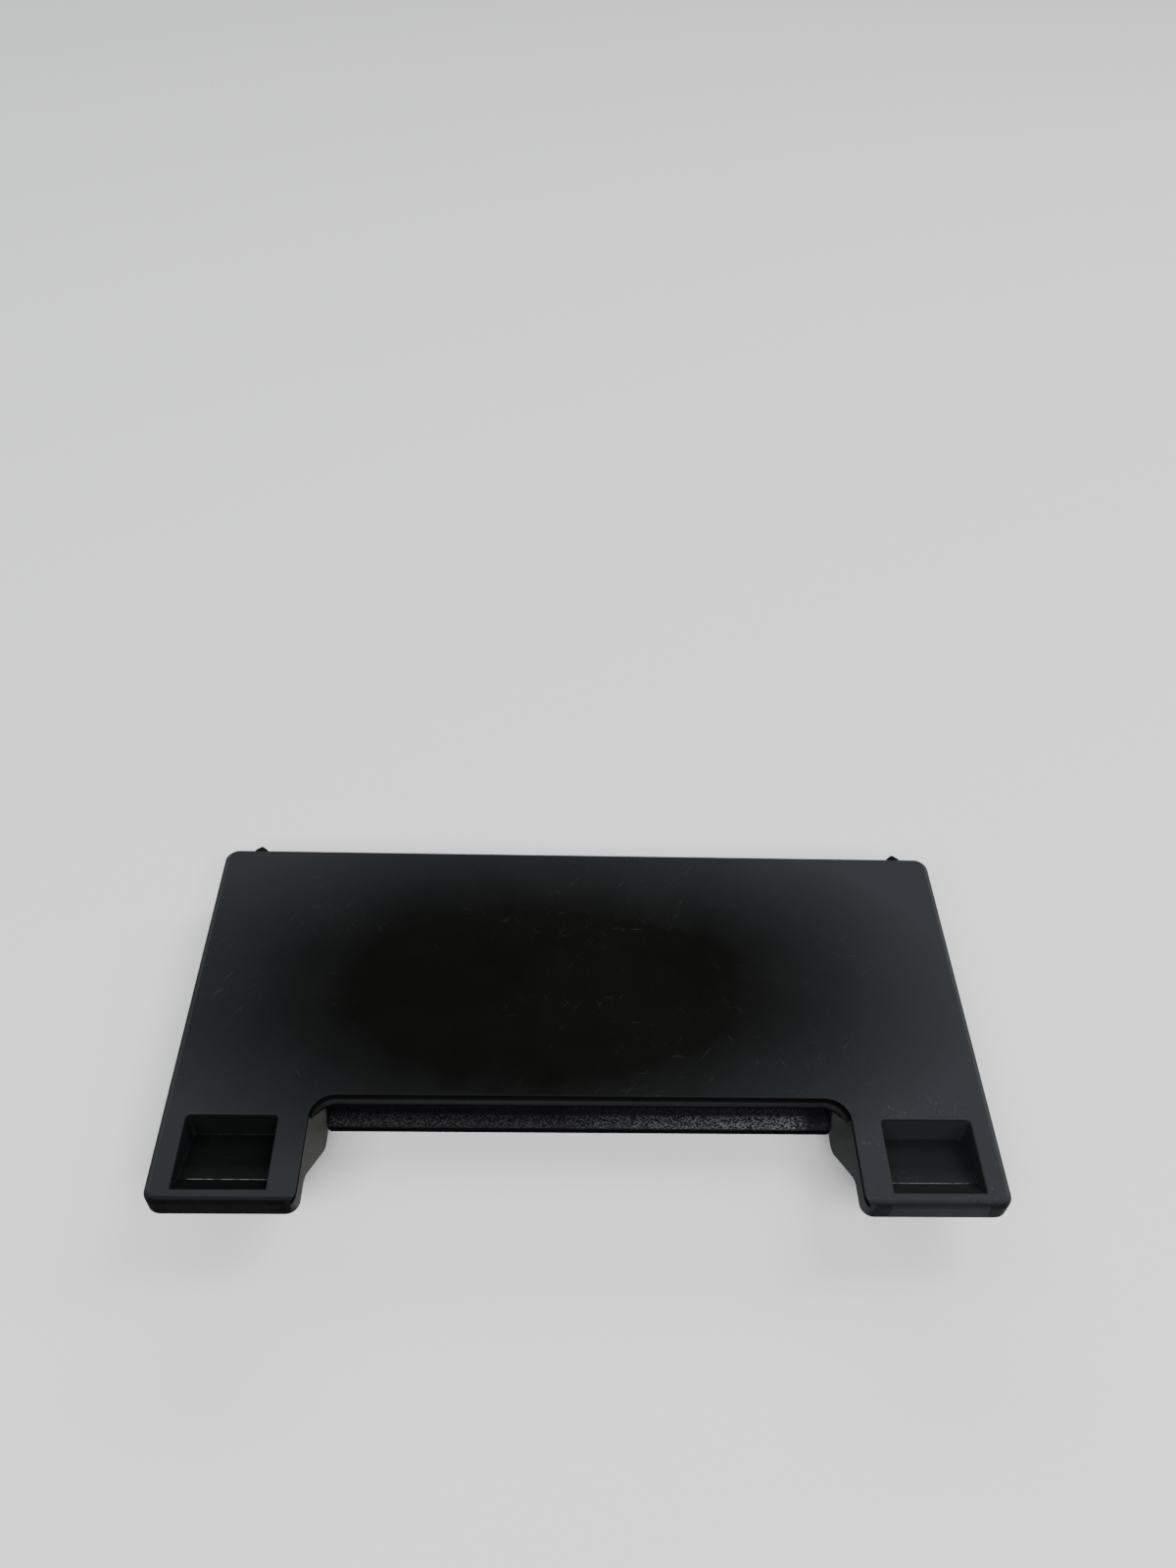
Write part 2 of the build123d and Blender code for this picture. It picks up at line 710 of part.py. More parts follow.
spring_y = belt_y - 14.5
spring_length = 22.0
spring_radius = 2.0
wire_radius = 0.35
spring_z = 8.0
spring_start = idler_x + 4.5
coils = 7
hook_length = 3.2
with BuildPart() as tension_spring:
    with BuildLine() as coil:
        Helix(pitch=(spring_length - 2 * hook_length) / coils, height=spring_length - 2 * hook_length,
              radius=spring_radius, center=(spring_start + hook_length, spring_y, spring_z),
              direction=(1, 0, 0))
    with BuildSketch(Plane(origin=coil.line @ 0, z_dir=coil.line % 0)):
        Circle(wire_radius)
    sweep()
    for end, reach in ((0, -hook_length), (1, hook_length)):
        with BuildSketch(Plane(origin=coil.line @ end, z_dir=(1, 0, 0))):
            Circle(wire_radius)
        extrude(amount=reach)
save(tension_spring.part, "tension_spring")

with BuildPart() as spring_anchor:
    with BuildSketch(Plane.XY.offset(floor_top)):
        with Locations((spring_start + spring_length + 2.0, spring_y)):
            Rectangle(4.0, 6.0)
    extrude(amount=spring_z + 3.0 - floor_top)
save(spring_anchor.part, "spring_anchor")

motor_top = motor_bottom + motor_height
motor_ear_x = motor_radius + 2.2
with BuildPart() as stepper_motor:
    with BuildSketch(Plane.XY.offset(motor_bottom)):
        with Locations((motor_x, motor_y)):
            Circle(motor_radius)
    extrude(amount=motor_height - 0.8)
    fillet(stepper_motor.edges().group_by(Axis.Z)[0], radius=0.8)
    with BuildSketch(Plane.XY.offset(motor_top - 0.8)):
        with Locations((motor_x, motor_y)):
            Circle(motor_radius)
            SlotOverall(2 * motor_radius + 11.0, 7.0)
        with Locations((motor_x - motor_ear_x, motor_y), (motor_x + motor_ear_x, motor_y)):
            Circle(screw_radius + fit, mode=Mode.SUBTRACT)
    extrude(amount=0.8)
    with BuildSketch(Plane.XY.offset(motor_top - 2)):
        with Locations((motor_x, motor_y)):
            Circle(0.9 + fit)
    extrude(amount=2, mode=Mode.SUBTRACT)
save(stepper_motor.part, "stepper_motor")

with BuildPart() as motor_posts:
    with BuildSketch(Plane.XY.offset(floor_top)):
        with Locations((motor_x - motor_ear_x - 1.0, motor_y),
                       (motor_x + motor_ear_x + 1.0, motor_y)):
            Circle(2.6)
        with Locations((motor_x, motor_y)):
            Circle(motor_radius + 0.2, mode=Mode.SUBTRACT)
    extrude(amount=motor_top - 0.8 - floor_top)
    with BuildSketch(Plane.XY.offset(motor_top - 6)):
        with Locations((motor_x - motor_ear_x, motor_y), (motor_x + motor_ear_x, motor_y)):
            Circle(screw_radius)
    extrude(amount=6, mode=Mode.SUBTRACT)
save(motor_posts.part, "motor_posts")

with BuildPart() as motor_screws:
    for side in (-1, 1):
        with BuildSketch(Plane.XY.offset(motor_top - 5)):
            with Locations((motor_x + side * motor_ear_x, motor_y)):
                Circle(screw_radius)
        extrude(amount=5)
        with BuildSketch(Plane.XY.offset(motor_top)):
            with Locations((motor_x + side * motor_ear_x, motor_y)):
                Circle(2.0)
        extrude(amount=1.0)
save(motor_screws.part, "motor_screws")

# ================================================================ electronics
board_posts = [(board_x0 + 3, board_y0 + 3), (board_x0 + 3, board_y1 - 3),
               (board_x1 - 4, board_y1 - 3)]
with BuildPart() as main_board:
    with BuildSketch(Plane.XY.offset(board_bottom)):
        with Locations(((board_x0 + board_x1) / 2, (board_y0 + board_y1) / 2)):
            RectangleRounded(board_x1 - board_x0, board_y1 - board_y0, 1.0)
        with Locations(board_posts):
            Circle(screw_radius + fit, mode=Mode.SUBTRACT)
        with Locations((post_x, front_post_y)):
            Circle(post_outer + 1.0, mode=Mode.SUBTRACT)
    extrude(amount=board_thickness)
save(main_board.part, "main_board")

with BuildPart() as board_standoffs:
    with BuildSketch(Plane.XY.offset(floor_top)):
        with Locations(board_posts):
            Circle(2.4)
            Circle(screw_radius, mode=Mode.SUBTRACT)
    extrude(amount=board_bottom - floor_top)
save(board_standoffs.part, "board_standoffs")

with BuildPart() as board_screws:
    with BuildSketch(Plane.XY.offset(floor_top + 0.4)):
        with Locations(board_posts):
            Circle(screw_radius)
    extrude(amount=board_top - floor_top - 0.4)
    with BuildSketch(Plane.XY.offset(board_top)):
        with Locations(board_posts):
            Circle(2.1)
    extrude(amount=1.1)
save(board_screws.part, "board_screws")

chips = [  # distances from the board's left and back edges, size in x, size in y, height
    (10.5, 15.0, 10.0, 10.0, 1.4),
    (9.5, 27.5, 8.0, 5.0, 1.2),
    (18.0, 30.0, 4.0, 3.0, 1.0),
    (20.0, 5.0, 5.0, 4.0, 1.6),
]
with BuildPart() as board_chips:
    for across, down, size_x, size_y, tall in chips:
        with BuildSketch(Plane.XY.offset(board_top)):
            with Locations((board_x0 + across, board_y1 - down)):
                Rectangle(size_x, size_y)
        extrude(amount=tall)
save(board_chips.part, "board_chips")

with BuildPart() as board_capacitors:
    with BuildSketch(Plane.XY.offset(board_top)):
        with Locations((board_x0 + 20.0, board_y1 - 13.0), (board_x0 + 20.0, board_y1 - 20.0)):
            Circle(2.5)
    extrude(amount=6.0)
save(board_capacitors.part, "board_capacitors")

with BuildPart() as beeper:
    with BuildSketch(Plane.XY.offset(board_top)):
        with Locations((board_x0 + 8.5, board_y1 - 5.0)):
            Circle(2.9)
            Circle(0.7, mode=Mode.SUBTRACT)
    extrude(amount=3.5)
save(beeper.part, "beeper")

ribbon_width = 10.0
with BuildPart() as ribbon_connector:
    with BuildSketch(Plane.XY.offset(board_top)):
        with Locations((board_x0 + 1.9, board_y1 - 19.0)):
            Rectangle(3.4, ribbon_width + 3.0)
    extrude(amount=2.2)
save(ribbon_connector.part, "ribbon_connector")

socket_x1 = base_half - 0.4
socket_x0 = socket_x1 - socket_depth
cavity_width = 11.7
cavity_height = 7.2
cavity_z = board_top + 2.2
with BuildPart() as data_socket:
    with BuildSketch(Plane.YZ.offset(socket_x0)):
        with Locations((socket_y, board_top + socket_height / 2)):
            Rectangle(socket_width, socket_height)
    extrude(amount=socket_depth)
    with BuildSketch(Plane.YZ.offset(socket_x0 + 3.0)):
        with Locations((socket_y, cavity_z + cavity_height / 2)):
            Rectangle(cavity_width, cavity_height)
        with Locations((socket_y, cavity_z)):
            Rectangle(6.2, 3.0)
    extrude(amount=socket_depth, mode=Mode.SUBTRACT)
save(data_socket.part, "data_socket")

contact_count = 8
contact_pitch = 1.02
with BuildPart() as socket_contacts:
    with BuildSketch(Plane.YZ.offset(socket_x0 + 3.0)):
        with Locations((socket_y, cavity_z + cavity_height - 0.5)):
            with GridLocations(contact_pitch, 1, contact_count, 1):
                Rectangle(0.4, 1.0)
    extrude(amount=9.0)
save(socket_contacts.part, "socket_contacts")

sensor_x = home_x - tray_half - 7.0
flag_y = base_mid - 16.2
with BuildPart() as home_sensor:
    with BuildSketch(Plane.XY.offset(floor_top)):
        with Locations((sensor_x, flag_y)):
            Rectangle(6.0, 12.0)
    extrude(amount=4.0)
    with BuildSketch(Plane.XY.offset(floor_top + 4.0)):
        with Locations((sensor_x, flag_y - 4.0), (sensor_x, flag_y + 4.0)):
            Rectangle(6.0, 4.0)
    extrude(amount=7.0)
save(home_sensor.part, "home_sensor")

# ================================================================ carriage at its home position
flag_width = 1.2
with BuildPart() as carriage:
    with BuildSketch(Plane.XY.offset(tray_bottom)):
        with Locations((home_x, (tray_front + block_front) / 2)):
            Rectangle(2 * tray_half, block_front - tray_front)
    extrude(amount=tray_height)
    with BuildSketch(Plane.XY.offset(tray_bottom + tray_floor)):
        with Locations((home_x, base_mid)):
            Rectangle(sensor_width + 2 * gap, sensor_length + 2 * gap)
    extrude(amount=tray_height, mode=Mode.SUBTRACT)
    # bearing block on the rod
    with BuildSketch(Plane.XY.offset(rod_z - block_reach)):
        with Locations((home_x, rod_y)):
            Rectangle(2 * block_half, block_depth)
    extrude(amount=2 * block_reach)
    with BuildSketch(Plane.YZ.offset(home_x - block_half)):
        with Locations((rod_y, rod_z)):
            Circle(rod_radius + bush_wall)
    extrude(amount=2 * block_half, mode=Mode.SUBTRACT)
    # foot on the front rail
    with BuildSketch(Plane.XY.offset(rail_top + 0.1)):
        with Locations((home_x, tray_front + 2.5)):
            Rectangle(2 * tray_half, 5.0)
    extrude(amount=tray_bottom - rail_top - 0.1)
    # flag that trips the home sensor
    with BuildSketch(Plane.XY.offset(tray_bottom)):
        with Locations((home_x - tray_half - 3.0, flag_y)):
            Rectangle(6.0, flag_width)
    extrude(amount=3.0)
save(carriage.part, "carriage")

with BuildPart() as rod_bushes:
    for side in (-1, 1):
        with BuildSketch(Plane.YZ.offset(home_x + side * (block_half - 3.0) - 3.0)):
            with Locations((rod_y, rod_z)):
                Circle(rod_radius + bush_wall)
                Circle(rod_radius + fit, mode=Mode.SUBTRACT)
        extrude(amount=6.0)
save(rod_bushes.part, "rod_bushes")

run_y = belt_y + belt_inner + belt_thickness / 2
clamp_slot = belt_thickness + 2 * gap
clamp_bottom = floor_top + 2 * gap
with BuildPart() as belt_clamp:
    with BuildSketch(Plane.YZ.offset(home_x - 6.0)):
        with Locations((run_y, (clamp_bottom + tray_bottom) / 2)):
            Rectangle(clamp_slot + 2 * 1.3, tray_bottom - clamp_bottom)
        with Locations((run_y, (clamp_bottom + belt_bottom + belt_width + gap) / 2)):
            Rectangle(clamp_slot, belt_bottom + belt_width + gap - clamp_bottom, mode=Mode.SUBTRACT)
    extrude(amount=12.0)
save(belt_clamp.part, "belt_clamp")

lens_width = 2.4
lens_depth = 5.0
guide_size = 3.0
guide_offset = 4.6
with BuildPart() as sensor_housing:
    with BuildSketch(Plane.XY.offset(sensor_bottom)):
        with Locations((home_x, base_mid)):
            Rectangle(sensor_width, sensor_length)
    extrude(amount=sensor_top - sensor_bottom)
    chamfer(sensor_housing.faces().sort_by(Axis.Z)[-1].edges().filter_by(Axis.Y), length=1.2)
    with BuildSketch(Plane.XY.offset(sensor_top)):
        with Locations((home_x, base_mid)):
            Rectangle(lens_width, sensor_length - 6)
    extrude(amount=-lens_depth, mode=Mode.SUBTRACT)
    with BuildSketch(Plane.XY.offset(sensor_top)):
        with Locations((home_x - guide_offset, base_mid)):
            Rectangle(guide_size, sensor_length - 4)
    extrude(amount=-guide_size, mode=Mode.SUBTRACT)
    with BuildSketch(Plane.XY.offset(sensor_bottom)):
        with Locations((home_x, base_mid)):
            Rectangle(sensor_width - 3.0, sensor_length - 3.0)
    extrude(amount=1.6, mode=Mode.SUBTRACT)
save(sensor_housing.part, "sensor_housing")

with BuildPart() as rod_lens_array:
    with BuildSketch(Plane.XY.offset(sensor_top - 0.2)):
        with Locations((home_x, base_mid)):
            Rectangle(lens_width - 0.1, sensor_length - 6.2)
    extrude(amount=-lens_depth + 0.2)
save(rod_lens_array.part, "rod_lens_array")

with BuildPart() as light_guide:
    with BuildSketch(Plane.XY.offset(sensor_top - 0.2)):
        with Locations((home_x - guide_offset, base_mid)):
            Rectangle(guide_size - 0.1, sensor_length - 4.2)
    extrude(amount=-guide_size + 0.2)
save(light_guide.part, "light_guide")

with BuildPart() as sensor_board:
    with BuildSketch(Plane.XY.offset(sensor_bottom + 0.2)):
        with Locations((home_x, base_mid)):
            Rectangle(sensor_width - 3.2, sensor_length - 3.2)
    extrude(amount=1.4)
save(sensor_board.part, "sensor_board")

spring_places = [(home_x, base_mid - 25.0), (home_x, base_mid + 25.0)]
leaf_thickness = 0.25
leaf_rise = sensor_bottom - tray_bottom - tray_floor
with BuildPart() as leaf_springs:
    for place in spring_places:
        with BuildSketch(Plane.YZ.offset(home_x - 3.0)):
            with BuildLine():
                arch = ThreePointArc(
                    (place[1] - 7.0, tray_bottom + tray_floor),
                    (place[1], sensor_bottom - leaf_thickness),
                    (place[1] + 7.0, tray_bottom + tray_floor),
                )
                upper = ThreePointArc(
                    (place[1] - 7.0, tray_bottom + tray_floor + leaf_thickness),
                    (place[1], sensor_bottom),
                    (place[1] + 7.0, tray_bottom + tray_floor + leaf_thickness),
                )
                Line(arch @ 0, upper @ 0)
                Line(arch @ 1, upper @ 1)
            make_face()
        extrude(amount=6.0)
save(leaf_springs.part, "leaf_springs")

with BuildPart() as glide_pads:
    with BuildSketch(Plane.XY.offset(sensor_top)):
        with Locations((home_x + 4.6, base_mid)):
            with GridLocations(1, sensor_length - 5.0, 1, 2):
                RectangleRounded(5.0, 4.0, 0.8)
    extrude(amount=glass_under - gap - sensor_top)
save(glide_pads.part, "glide_pads")

# ================================================================ turning pieces
pulley_top = belt_bottom + belt_width + 2 * gap
with BuildPart() as drive_pulley:
    with BuildSketch(Plane.XY.offset(pulley_bottom)):
        with Locations((pulley_x, belt_y)):
            Circle(flange_radius)
    extrude(amount=0.6)
    with BuildSketch(Plane.XY.offset(pulley_bottom + 0.6)):
        with Locations((pulley_x, belt_y)):
            Circle(pulley_radius)
    extrude(amount=pulley_top - pulley_bottom - 0.6)
    with BuildSketch(Plane.XY.offset(pulley_top)):
        with Locations((pulley_x, belt_y)):
            Circle(flange_radius)
    extrude(amount=0.6)
    with BuildSketch(Plane.XY.offset(pulley_top + 0.6)):
        with Locations((pulley_x, belt_y)):
            Circle(hub_radius)
    extrude(amount=gear_bottom - pulley_top - 0.6)
    with BuildSketch(Plane.XY.offset(pulley_bottom)):
        with Locations((pulley_x, belt_y)):
            Circle(post_radius + fit)
    extrude(amount=gear_bottom - pulley_bottom, mode=Mode.SUBTRACT)
save(drive_pulley.part, "drive_pulley")

mesh_thinning = 0.16
with BuildPart() as reduction_gear:
    with BuildSketch(Plane((pulley_x, belt_y, gear_bottom))):
        with BuildLine():
            Polyline(*gear_points(gear_teeth, mesh_thinning), close=True)
        make_face()
        Circle(post_radius + fit, mode=Mode.SUBTRACT)
        with PolarLocations(8.6, 6):
            Circle(2.6, mode=Mode.SUBTRACT)
    extrude(amount=gear_face)
save(reduction_gear.part, "reduction_gear")

with BuildPart() as idler_pulley:
    with BuildSketch(Plane.XY.offset(pulley_bottom)):
        with Locations((idler_x, belt_y)):
            Circle(flange_radius)
    extrude(amount=0.6)
    with BuildSketch(Plane.XY.offset(pulley_bottom + 0.6)):
        with Locations((idler_x, belt_y)):
            Circle(pulley_radius)
    extrude(amount=pulley_top - pulley_bottom - 0.6)
    with BuildSketch(Plane.XY.offset(pulley_top)):
        with Locations((idler_x, belt_y)):
            Circle(flange_radius)
    extrude(amount=0.6)
    with BuildSketch(Plane.XY.offset(pulley_bottom)):
        with Locations((idler_x, belt_y)):
            Circle(post_radius + fit)
    extrude(amount=pulley_top + 0.6 - pulley_bottom, mode=Mode.SUBTRACT)
save(idler_pulley.part, "idler_pulley")

shaft_radius = 0.9
with BuildPart() as motor_pinion:
    with BuildSketch(Plane((motor_x, motor_y, gear_bottom - 0.3))):
        with BuildLine():
            Polyline(*gear_points(pinion_teeth, mesh_thinning, 0.5), close=True)
        make_face()
        Circle(shaft_radius, mode=Mode.SUBTRACT)
    extrude(amount=gear_face + 0.6)
save(motor_pinion.part, "motor_pinion")

with BuildPart() as motor_shaft:
    with BuildSketch(Plane.XY.offset(motor_top - 1.8)):
        with Locations((motor_x, motor_y)):
            Circle(shaft_radius)
    extrude(amount=gear_top + 0.6 - motor_top + 1.8)
save(motor_shaft.part, "motor_shaft")
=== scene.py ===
"""Looks of the flatbed counter scanner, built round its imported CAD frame.

Everything is in metres in the frame's own coordinates: +X right, +Y back, +Z up, with the feet on
the plane z = 0. Each sub-assembly is a class that dresses its CAD nodes and adds its own pieces.
"""

import json
import logging
import math
from dataclasses import dataclass, field
from enum import Enum

import bmesh
import bpy
from mathutils import Matrix, Vector


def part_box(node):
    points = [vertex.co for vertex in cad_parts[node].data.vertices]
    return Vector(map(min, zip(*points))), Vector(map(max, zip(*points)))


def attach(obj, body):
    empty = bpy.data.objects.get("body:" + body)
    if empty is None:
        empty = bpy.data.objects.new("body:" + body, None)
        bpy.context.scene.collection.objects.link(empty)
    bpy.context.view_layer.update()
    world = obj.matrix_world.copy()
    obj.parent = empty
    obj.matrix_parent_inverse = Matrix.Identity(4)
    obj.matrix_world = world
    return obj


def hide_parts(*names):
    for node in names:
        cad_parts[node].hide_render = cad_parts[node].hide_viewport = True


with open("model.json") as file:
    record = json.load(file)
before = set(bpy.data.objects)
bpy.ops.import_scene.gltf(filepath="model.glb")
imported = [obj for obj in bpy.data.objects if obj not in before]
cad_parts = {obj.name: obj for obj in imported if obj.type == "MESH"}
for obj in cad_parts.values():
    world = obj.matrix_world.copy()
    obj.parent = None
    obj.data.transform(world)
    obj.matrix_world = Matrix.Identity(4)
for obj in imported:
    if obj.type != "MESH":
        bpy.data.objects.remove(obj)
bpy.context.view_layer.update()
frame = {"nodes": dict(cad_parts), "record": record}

log = logging.getLogger("scanner")
MM = 0.001

Color = tuple[float, float, float]
# painted shade: SHADED is the colour painted where shade falls
SHADED: Color = (0.0006, 0.0006, 0.0007)  # plastic where neither dust nor light reaches


class Coat(Enum):
    """How polished a moulded surface is."""

    MATT = 0.0
    SATIN = 0.15


# ---------------------------------------------------------------- node helpers
class NodeTree:
    """A material's node tree with short calls for the nodes that the finishes use."""

    def __init__(self, name: str) -> None:
        """Start an empty principled material.

        Args:
            name: the material's name.
        """
        self.material = bpy.data.materials.new(name)
        self.material.use_nodes = True
        self.tree = self.material.node_tree
        self.nodes = self.tree.nodes
        self.shader = self.nodes["Principled BSDF"]
        self.position = self.nodes.new("ShaderNodeTexCoord").outputs["Object"]

    def link(self, source: bpy.types.NodeSocket, target: bpy.types.NodeSocket) -> None:
        """Join an output to an input."""
        self.tree.links.new(source, target)

    def stretched(self, scale: Color) -> bpy.types.NodeSocket:
        """Object position stretched along the axes.

        Args:
            scale: factor for each axis.

        Returns:
            The stretched position.
        """
        mapping = self.nodes.new("ShaderNodeMapping")
        mapping.inputs["Scale"].default_value = scale
        self.link(self.position, mapping.inputs["Vector"])
        return mapping.outputs["Vector"]

    def noise(self, scale: float, detail: float = 4.0, rough: float = 0.55,
              vector: bpy.types.NodeSocket | None = None) -> bpy.types.NodeSocket:
        """Fractal noise from 0 to 1.

        Args:
            scale: cells per metre.
            detail: octaves.
            rough: weight of each finer octave.
            vector: position to read, or None for the object's.

        Returns:
            The noise value.
        """
        node = self.nodes.new("ShaderNodeTexNoise")
        node.inputs["Scale"].default_value = scale
        node.inputs["Detail"].default_value = detail
        node.inputs["Roughness"].default_value = rough
        self.link(vector or self.position, node.inputs["Vector"])
        return node.outputs["Fac"]

    def cells(self, scale: float) -> bpy.types.NodeSocket:
        """Distance to the middle of the nearest Voronoi cell.

        Args:
            scale: cells per metre.

        Returns:
            The distance value.
        """
        node = self.nodes.new("ShaderNodeTexVoronoi")
        node.feature = "F1"
        node.inputs["Scale"].default_value = scale
        self.link(self.position, node.inputs["Vector"])
        return node.outputs["Distance"]

    def remap(self, value: bpy.types.NodeSocket, low: float, high: float,
              to_low: float, to_high: float) -> bpy.types.NodeSocket:
        """Clamped linear remap.

        Args:
            value: input value.
            low: input that gives to_low.
            high: input that gives to_high.
            to_low: output at low.
            to_high: output at high.

        Returns:
            The remapped value.
        """
        node = self.nodes.new("ShaderNodeMapRange")
        node.inputs["From Min"].default_value = low
        node.inputs["From Max"].default_value = high
        node.inputs["To Min"].default_value = to_low
        node.inputs["To Max"].default_value = to_high
        self.link(value, node.inputs["Value"])
        return node.outputs["Result"]

    def math(self, operation: str, first: bpy.types.NodeSocket,
             second: bpy.types.NodeSocket | float) -> bpy.types.NodeSocket:
        """One arithmetic step.

        Args:
            operation: Blender's name of the operation.
            first: first operand.
            second: second operand, a socket or a number.

        Returns:
            The result.
        """
        node = self.nodes.new("ShaderNodeMath")
        node.operation = operation
        self.link(first, node.inputs[0])
        if isinstance(second, (int, float)):
            node.inputs[1].default_value = second
        else:
            self.link(second, node.inputs[1])
        return node.outputs["Value"]

    def product(self, *factors: bpy.types.NodeSocket) -> bpy.types.NodeSocket:
        """Multiply masks together.

        Args:
            factors: two or more masks.

        Returns:
            Their product.
        """
        result = factors[0]
        for factor in factors[1:]:
            result = self.math("MULTIPLY", result, factor)
        return result

    def mix(self, amount: bpy.types.NodeSocket, first: Color | bpy.types.NodeSocket,
            second: Color | bpy.types.NodeSocket) -> bpy.types.NodeSocket:
        """Mix two colours.

        Args:
            amount: 0 for the first, 1 for the second.
            first: colour or socket.
            second: colour or socket.

        Returns:
            The mixed colour.
        """
        node = self.nodes.new("ShaderNodeMix")
        node.data_type = "RGBA"
        self.link(amount, node.inputs[0])
        for socket, value in ((node.inputs[6], first), (node.inputs[7], second)):
            if isinstance(value, tuple):
                socket.default_value = (*value, 1.0)
            else:
                self.link(value, socket)
        return node.outputs[2]

    def bump(self, height: bpy.types.NodeSocket, depth: float,
             strength: float = 1.0) -> bpy.types.NodeSocket:
        """Bump from a height value.

        Args:
            height: height from 0 to 1.
            depth: depth in metres of a height of 1.
            strength: share of the bump that shows.

        Returns:
            The bumped normal.
        """
        node = self.nodes.new("ShaderNodeBump")
        node.inputs["Strength"].default_value = strength
        node.inputs["Distance"].default_value = depth
        self.link(height, node.inputs["Height"])
        return node.outputs["Normal"]

    def split(self) -> bpy.types.NodeOutputs:
        """Split the object position by axis.

        Returns:
            X, Y and Z in metres.
        """
        node = self.nodes.new("ShaderNodeSeparateXYZ")
        self.link(self.position, node.inputs[0])
        return node.outputs

    def facing(self) -> bpy.types.NodeOutputs:
        """Split the object's own surface normal by axis.

        Returns:
            X, Y and Z of the normal.
        """
        node = self.nodes.new("ShaderNodeSeparateXYZ")
        self.link(self.nodes.new("ShaderNodeTexCoord").outputs["Normal"], node.inputs[0])
        return node.outputs

    def within(self, value: bpy.types.NodeSocket, low: float, high: float,
               soft: float) -> bpy.types.NodeSocket:
        """Mask that is 1 between two values.

        Args:
            value: input value.
            low: start of the span.
            high: end of the span.
            soft: width over which the mask fades outside it.

        Returns:
            The mask.
        """
        return self.math("MULTIPLY", self.remap(value, low - soft, low, 0.0, 1.0),
                         self.remap(value, high, high + soft, 1.0, 0.0))

    def edges(self, radius: float, low: float = 0.015, high: float = 0.12) -> bpy.types.NodeSocket:
        """Mask that is 1 along sharp edges and creases.

        Args:
            radius: width of the worn edge in metres.
            low: smallest turn of the surface that counts.
            high: turn that counts in full.

        Returns:
            The mask.
        """
        bevel = self.nodes.new("ShaderNodeBevel")
        bevel.samples = 6
        bevel.inputs["Radius"].default_value = radius
        face = self.nodes.new("ShaderNodeNewGeometry")
        dot = self.nodes.new("ShaderNodeVectorMath")
        dot.operation = "DOT_PRODUCT"
        self.link(bevel.outputs["Normal"], dot.inputs[0])
        self.link(face.outputs["Normal"], dot.inputs[1])
        return self.remap(dot.outputs["Value"], 1.0 - low, 1.0 - high, 0.0, 1.0)

    def scratches(self, angle: float, spacing: float, share: float) -> bpy.types.NodeSocket:
        """Sparse hairline scratches that run one way.

        Args:
            angle: direction in the deck's plane, in radians from +X.
            spacing: cells per metre across them.
            share: how strongly they show.

        Returns:
            The mask.
        """
        turn = self.nodes.new("ShaderNodeMapping")
        turn.inputs["Rotation"].default_value = (0.0, 0.0, -angle)
        self.link(self.position, turn.inputs["Vector"])
        stretch = self.nodes.new("ShaderNodeMapping")
        stretch.inputs["Scale"].default_value = (spacing * 0.09, spacing, spacing)
        self.link(turn.outputs["Vector"], stretch.inputs["Vector"])
        dash = self.noise(1.0, 0.0, 0.5, stretch.outputs["Vector"])
        patch = self.remap(self.noise(14.0 + angle, 2.0), 0.42, 0.6, 0.0, 1.0)
        return self.math("MULTIPLY", self.remap(dash, 0.79, 0.84, 0.0, share), patch)


# ---------------------------------------------------------------- finishes
@dataclass(frozen=True)
class MouldedPlastic:
    """Injection-moulded plastic with a spark-eroded grain and edges worn lighter."""

    name: str
    dark: Color
    light: Color
    roughness: float = 0.5
    grain: float = 900.0
    grain_depth: float = 0.00004
    coat: Coat = Coat.MATT
    gloss: float = 0.4
    edge: float = 0.0005
    wear: float = 0.03

    def painted_shade(self, t: NodeTree) -> bpy.types.NodeSocket | None:
        """Mask of painted shade, where the plastic is painted dark and made duller; plain plastic
        has none.
        """
        return None

    def marks(self, t: NodeTree, colour: bpy.types.NodeSocket,
              cloud: bpy.types.NodeSocket) -> bpy.types.NodeSocket:
        """Marks of use on the colour; plain plastic has none.

        Args:
            t: the node tree; not used.
            colour: colour so far.
            cloud: slow variation over the surface; not used.

        Returns:
            The colour with its marks.
        """
        return colour

    def build(self) -> bpy.types.Material:
        """Make the material.

        Returns:
            The finished material.
        """
        t = NodeTree(self.name)
        cloud = t.noise(14.0, 5.0)
        colour = t.mix(t.remap(cloud, 0.3, 0.7, 0.0, 1.0), self.dark, self.light)
        grain = t.noise(self.grain, 3.0, 0.6)
        pits = t.cells(self.grain * 0.9)
        height = t.math("ADD", grain, t.math("MULTIPLY", pits, 0.6))
        rough = t.remap(t.noise(60.0, 4.0), 0.3, 0.7, self.roughness - 0.05, self.roughness + 0.06)
        patchy = t.remap(t.noise(130.0), 0.35, 0.6, 0.35, 1.0)
        wear_and_highlight = t.math("MULTIPLY", t.edges(self.edge), patchy)
        worn = tuple(min(1.0, 2.4 * c + self.wear) for c in self.light)
        colour = self.marks(t, t.mix(wear_and_highlight, colour, worn), cloud)
        # painted shade: the masked places are painted SHADED and made duller
        painted_shade = self.painted_shade(t)
        if painted_shade is not None:
            colour = t.mix(painted_shade, colour, SHADED)
            rough = t.math("ADD", rough, t.math("MULTIPLY", painted_shade, 0.5))
        t.link(colour, t.shader.inputs["Base Color"])
        t.link(rough, t.shader.inputs["Roughness"])
        t.link(t.bump(height, self.grain_depth), t.shader.inputs["Normal"])
        t.shader.inputs["Specular IOR Level"].default_value = self.gloss
        t.shader.inputs["Coat Weight"].default_value = self.coat.value
        t.shader.inputs["Coat Roughness"].default_value = 0.12
        return t.material


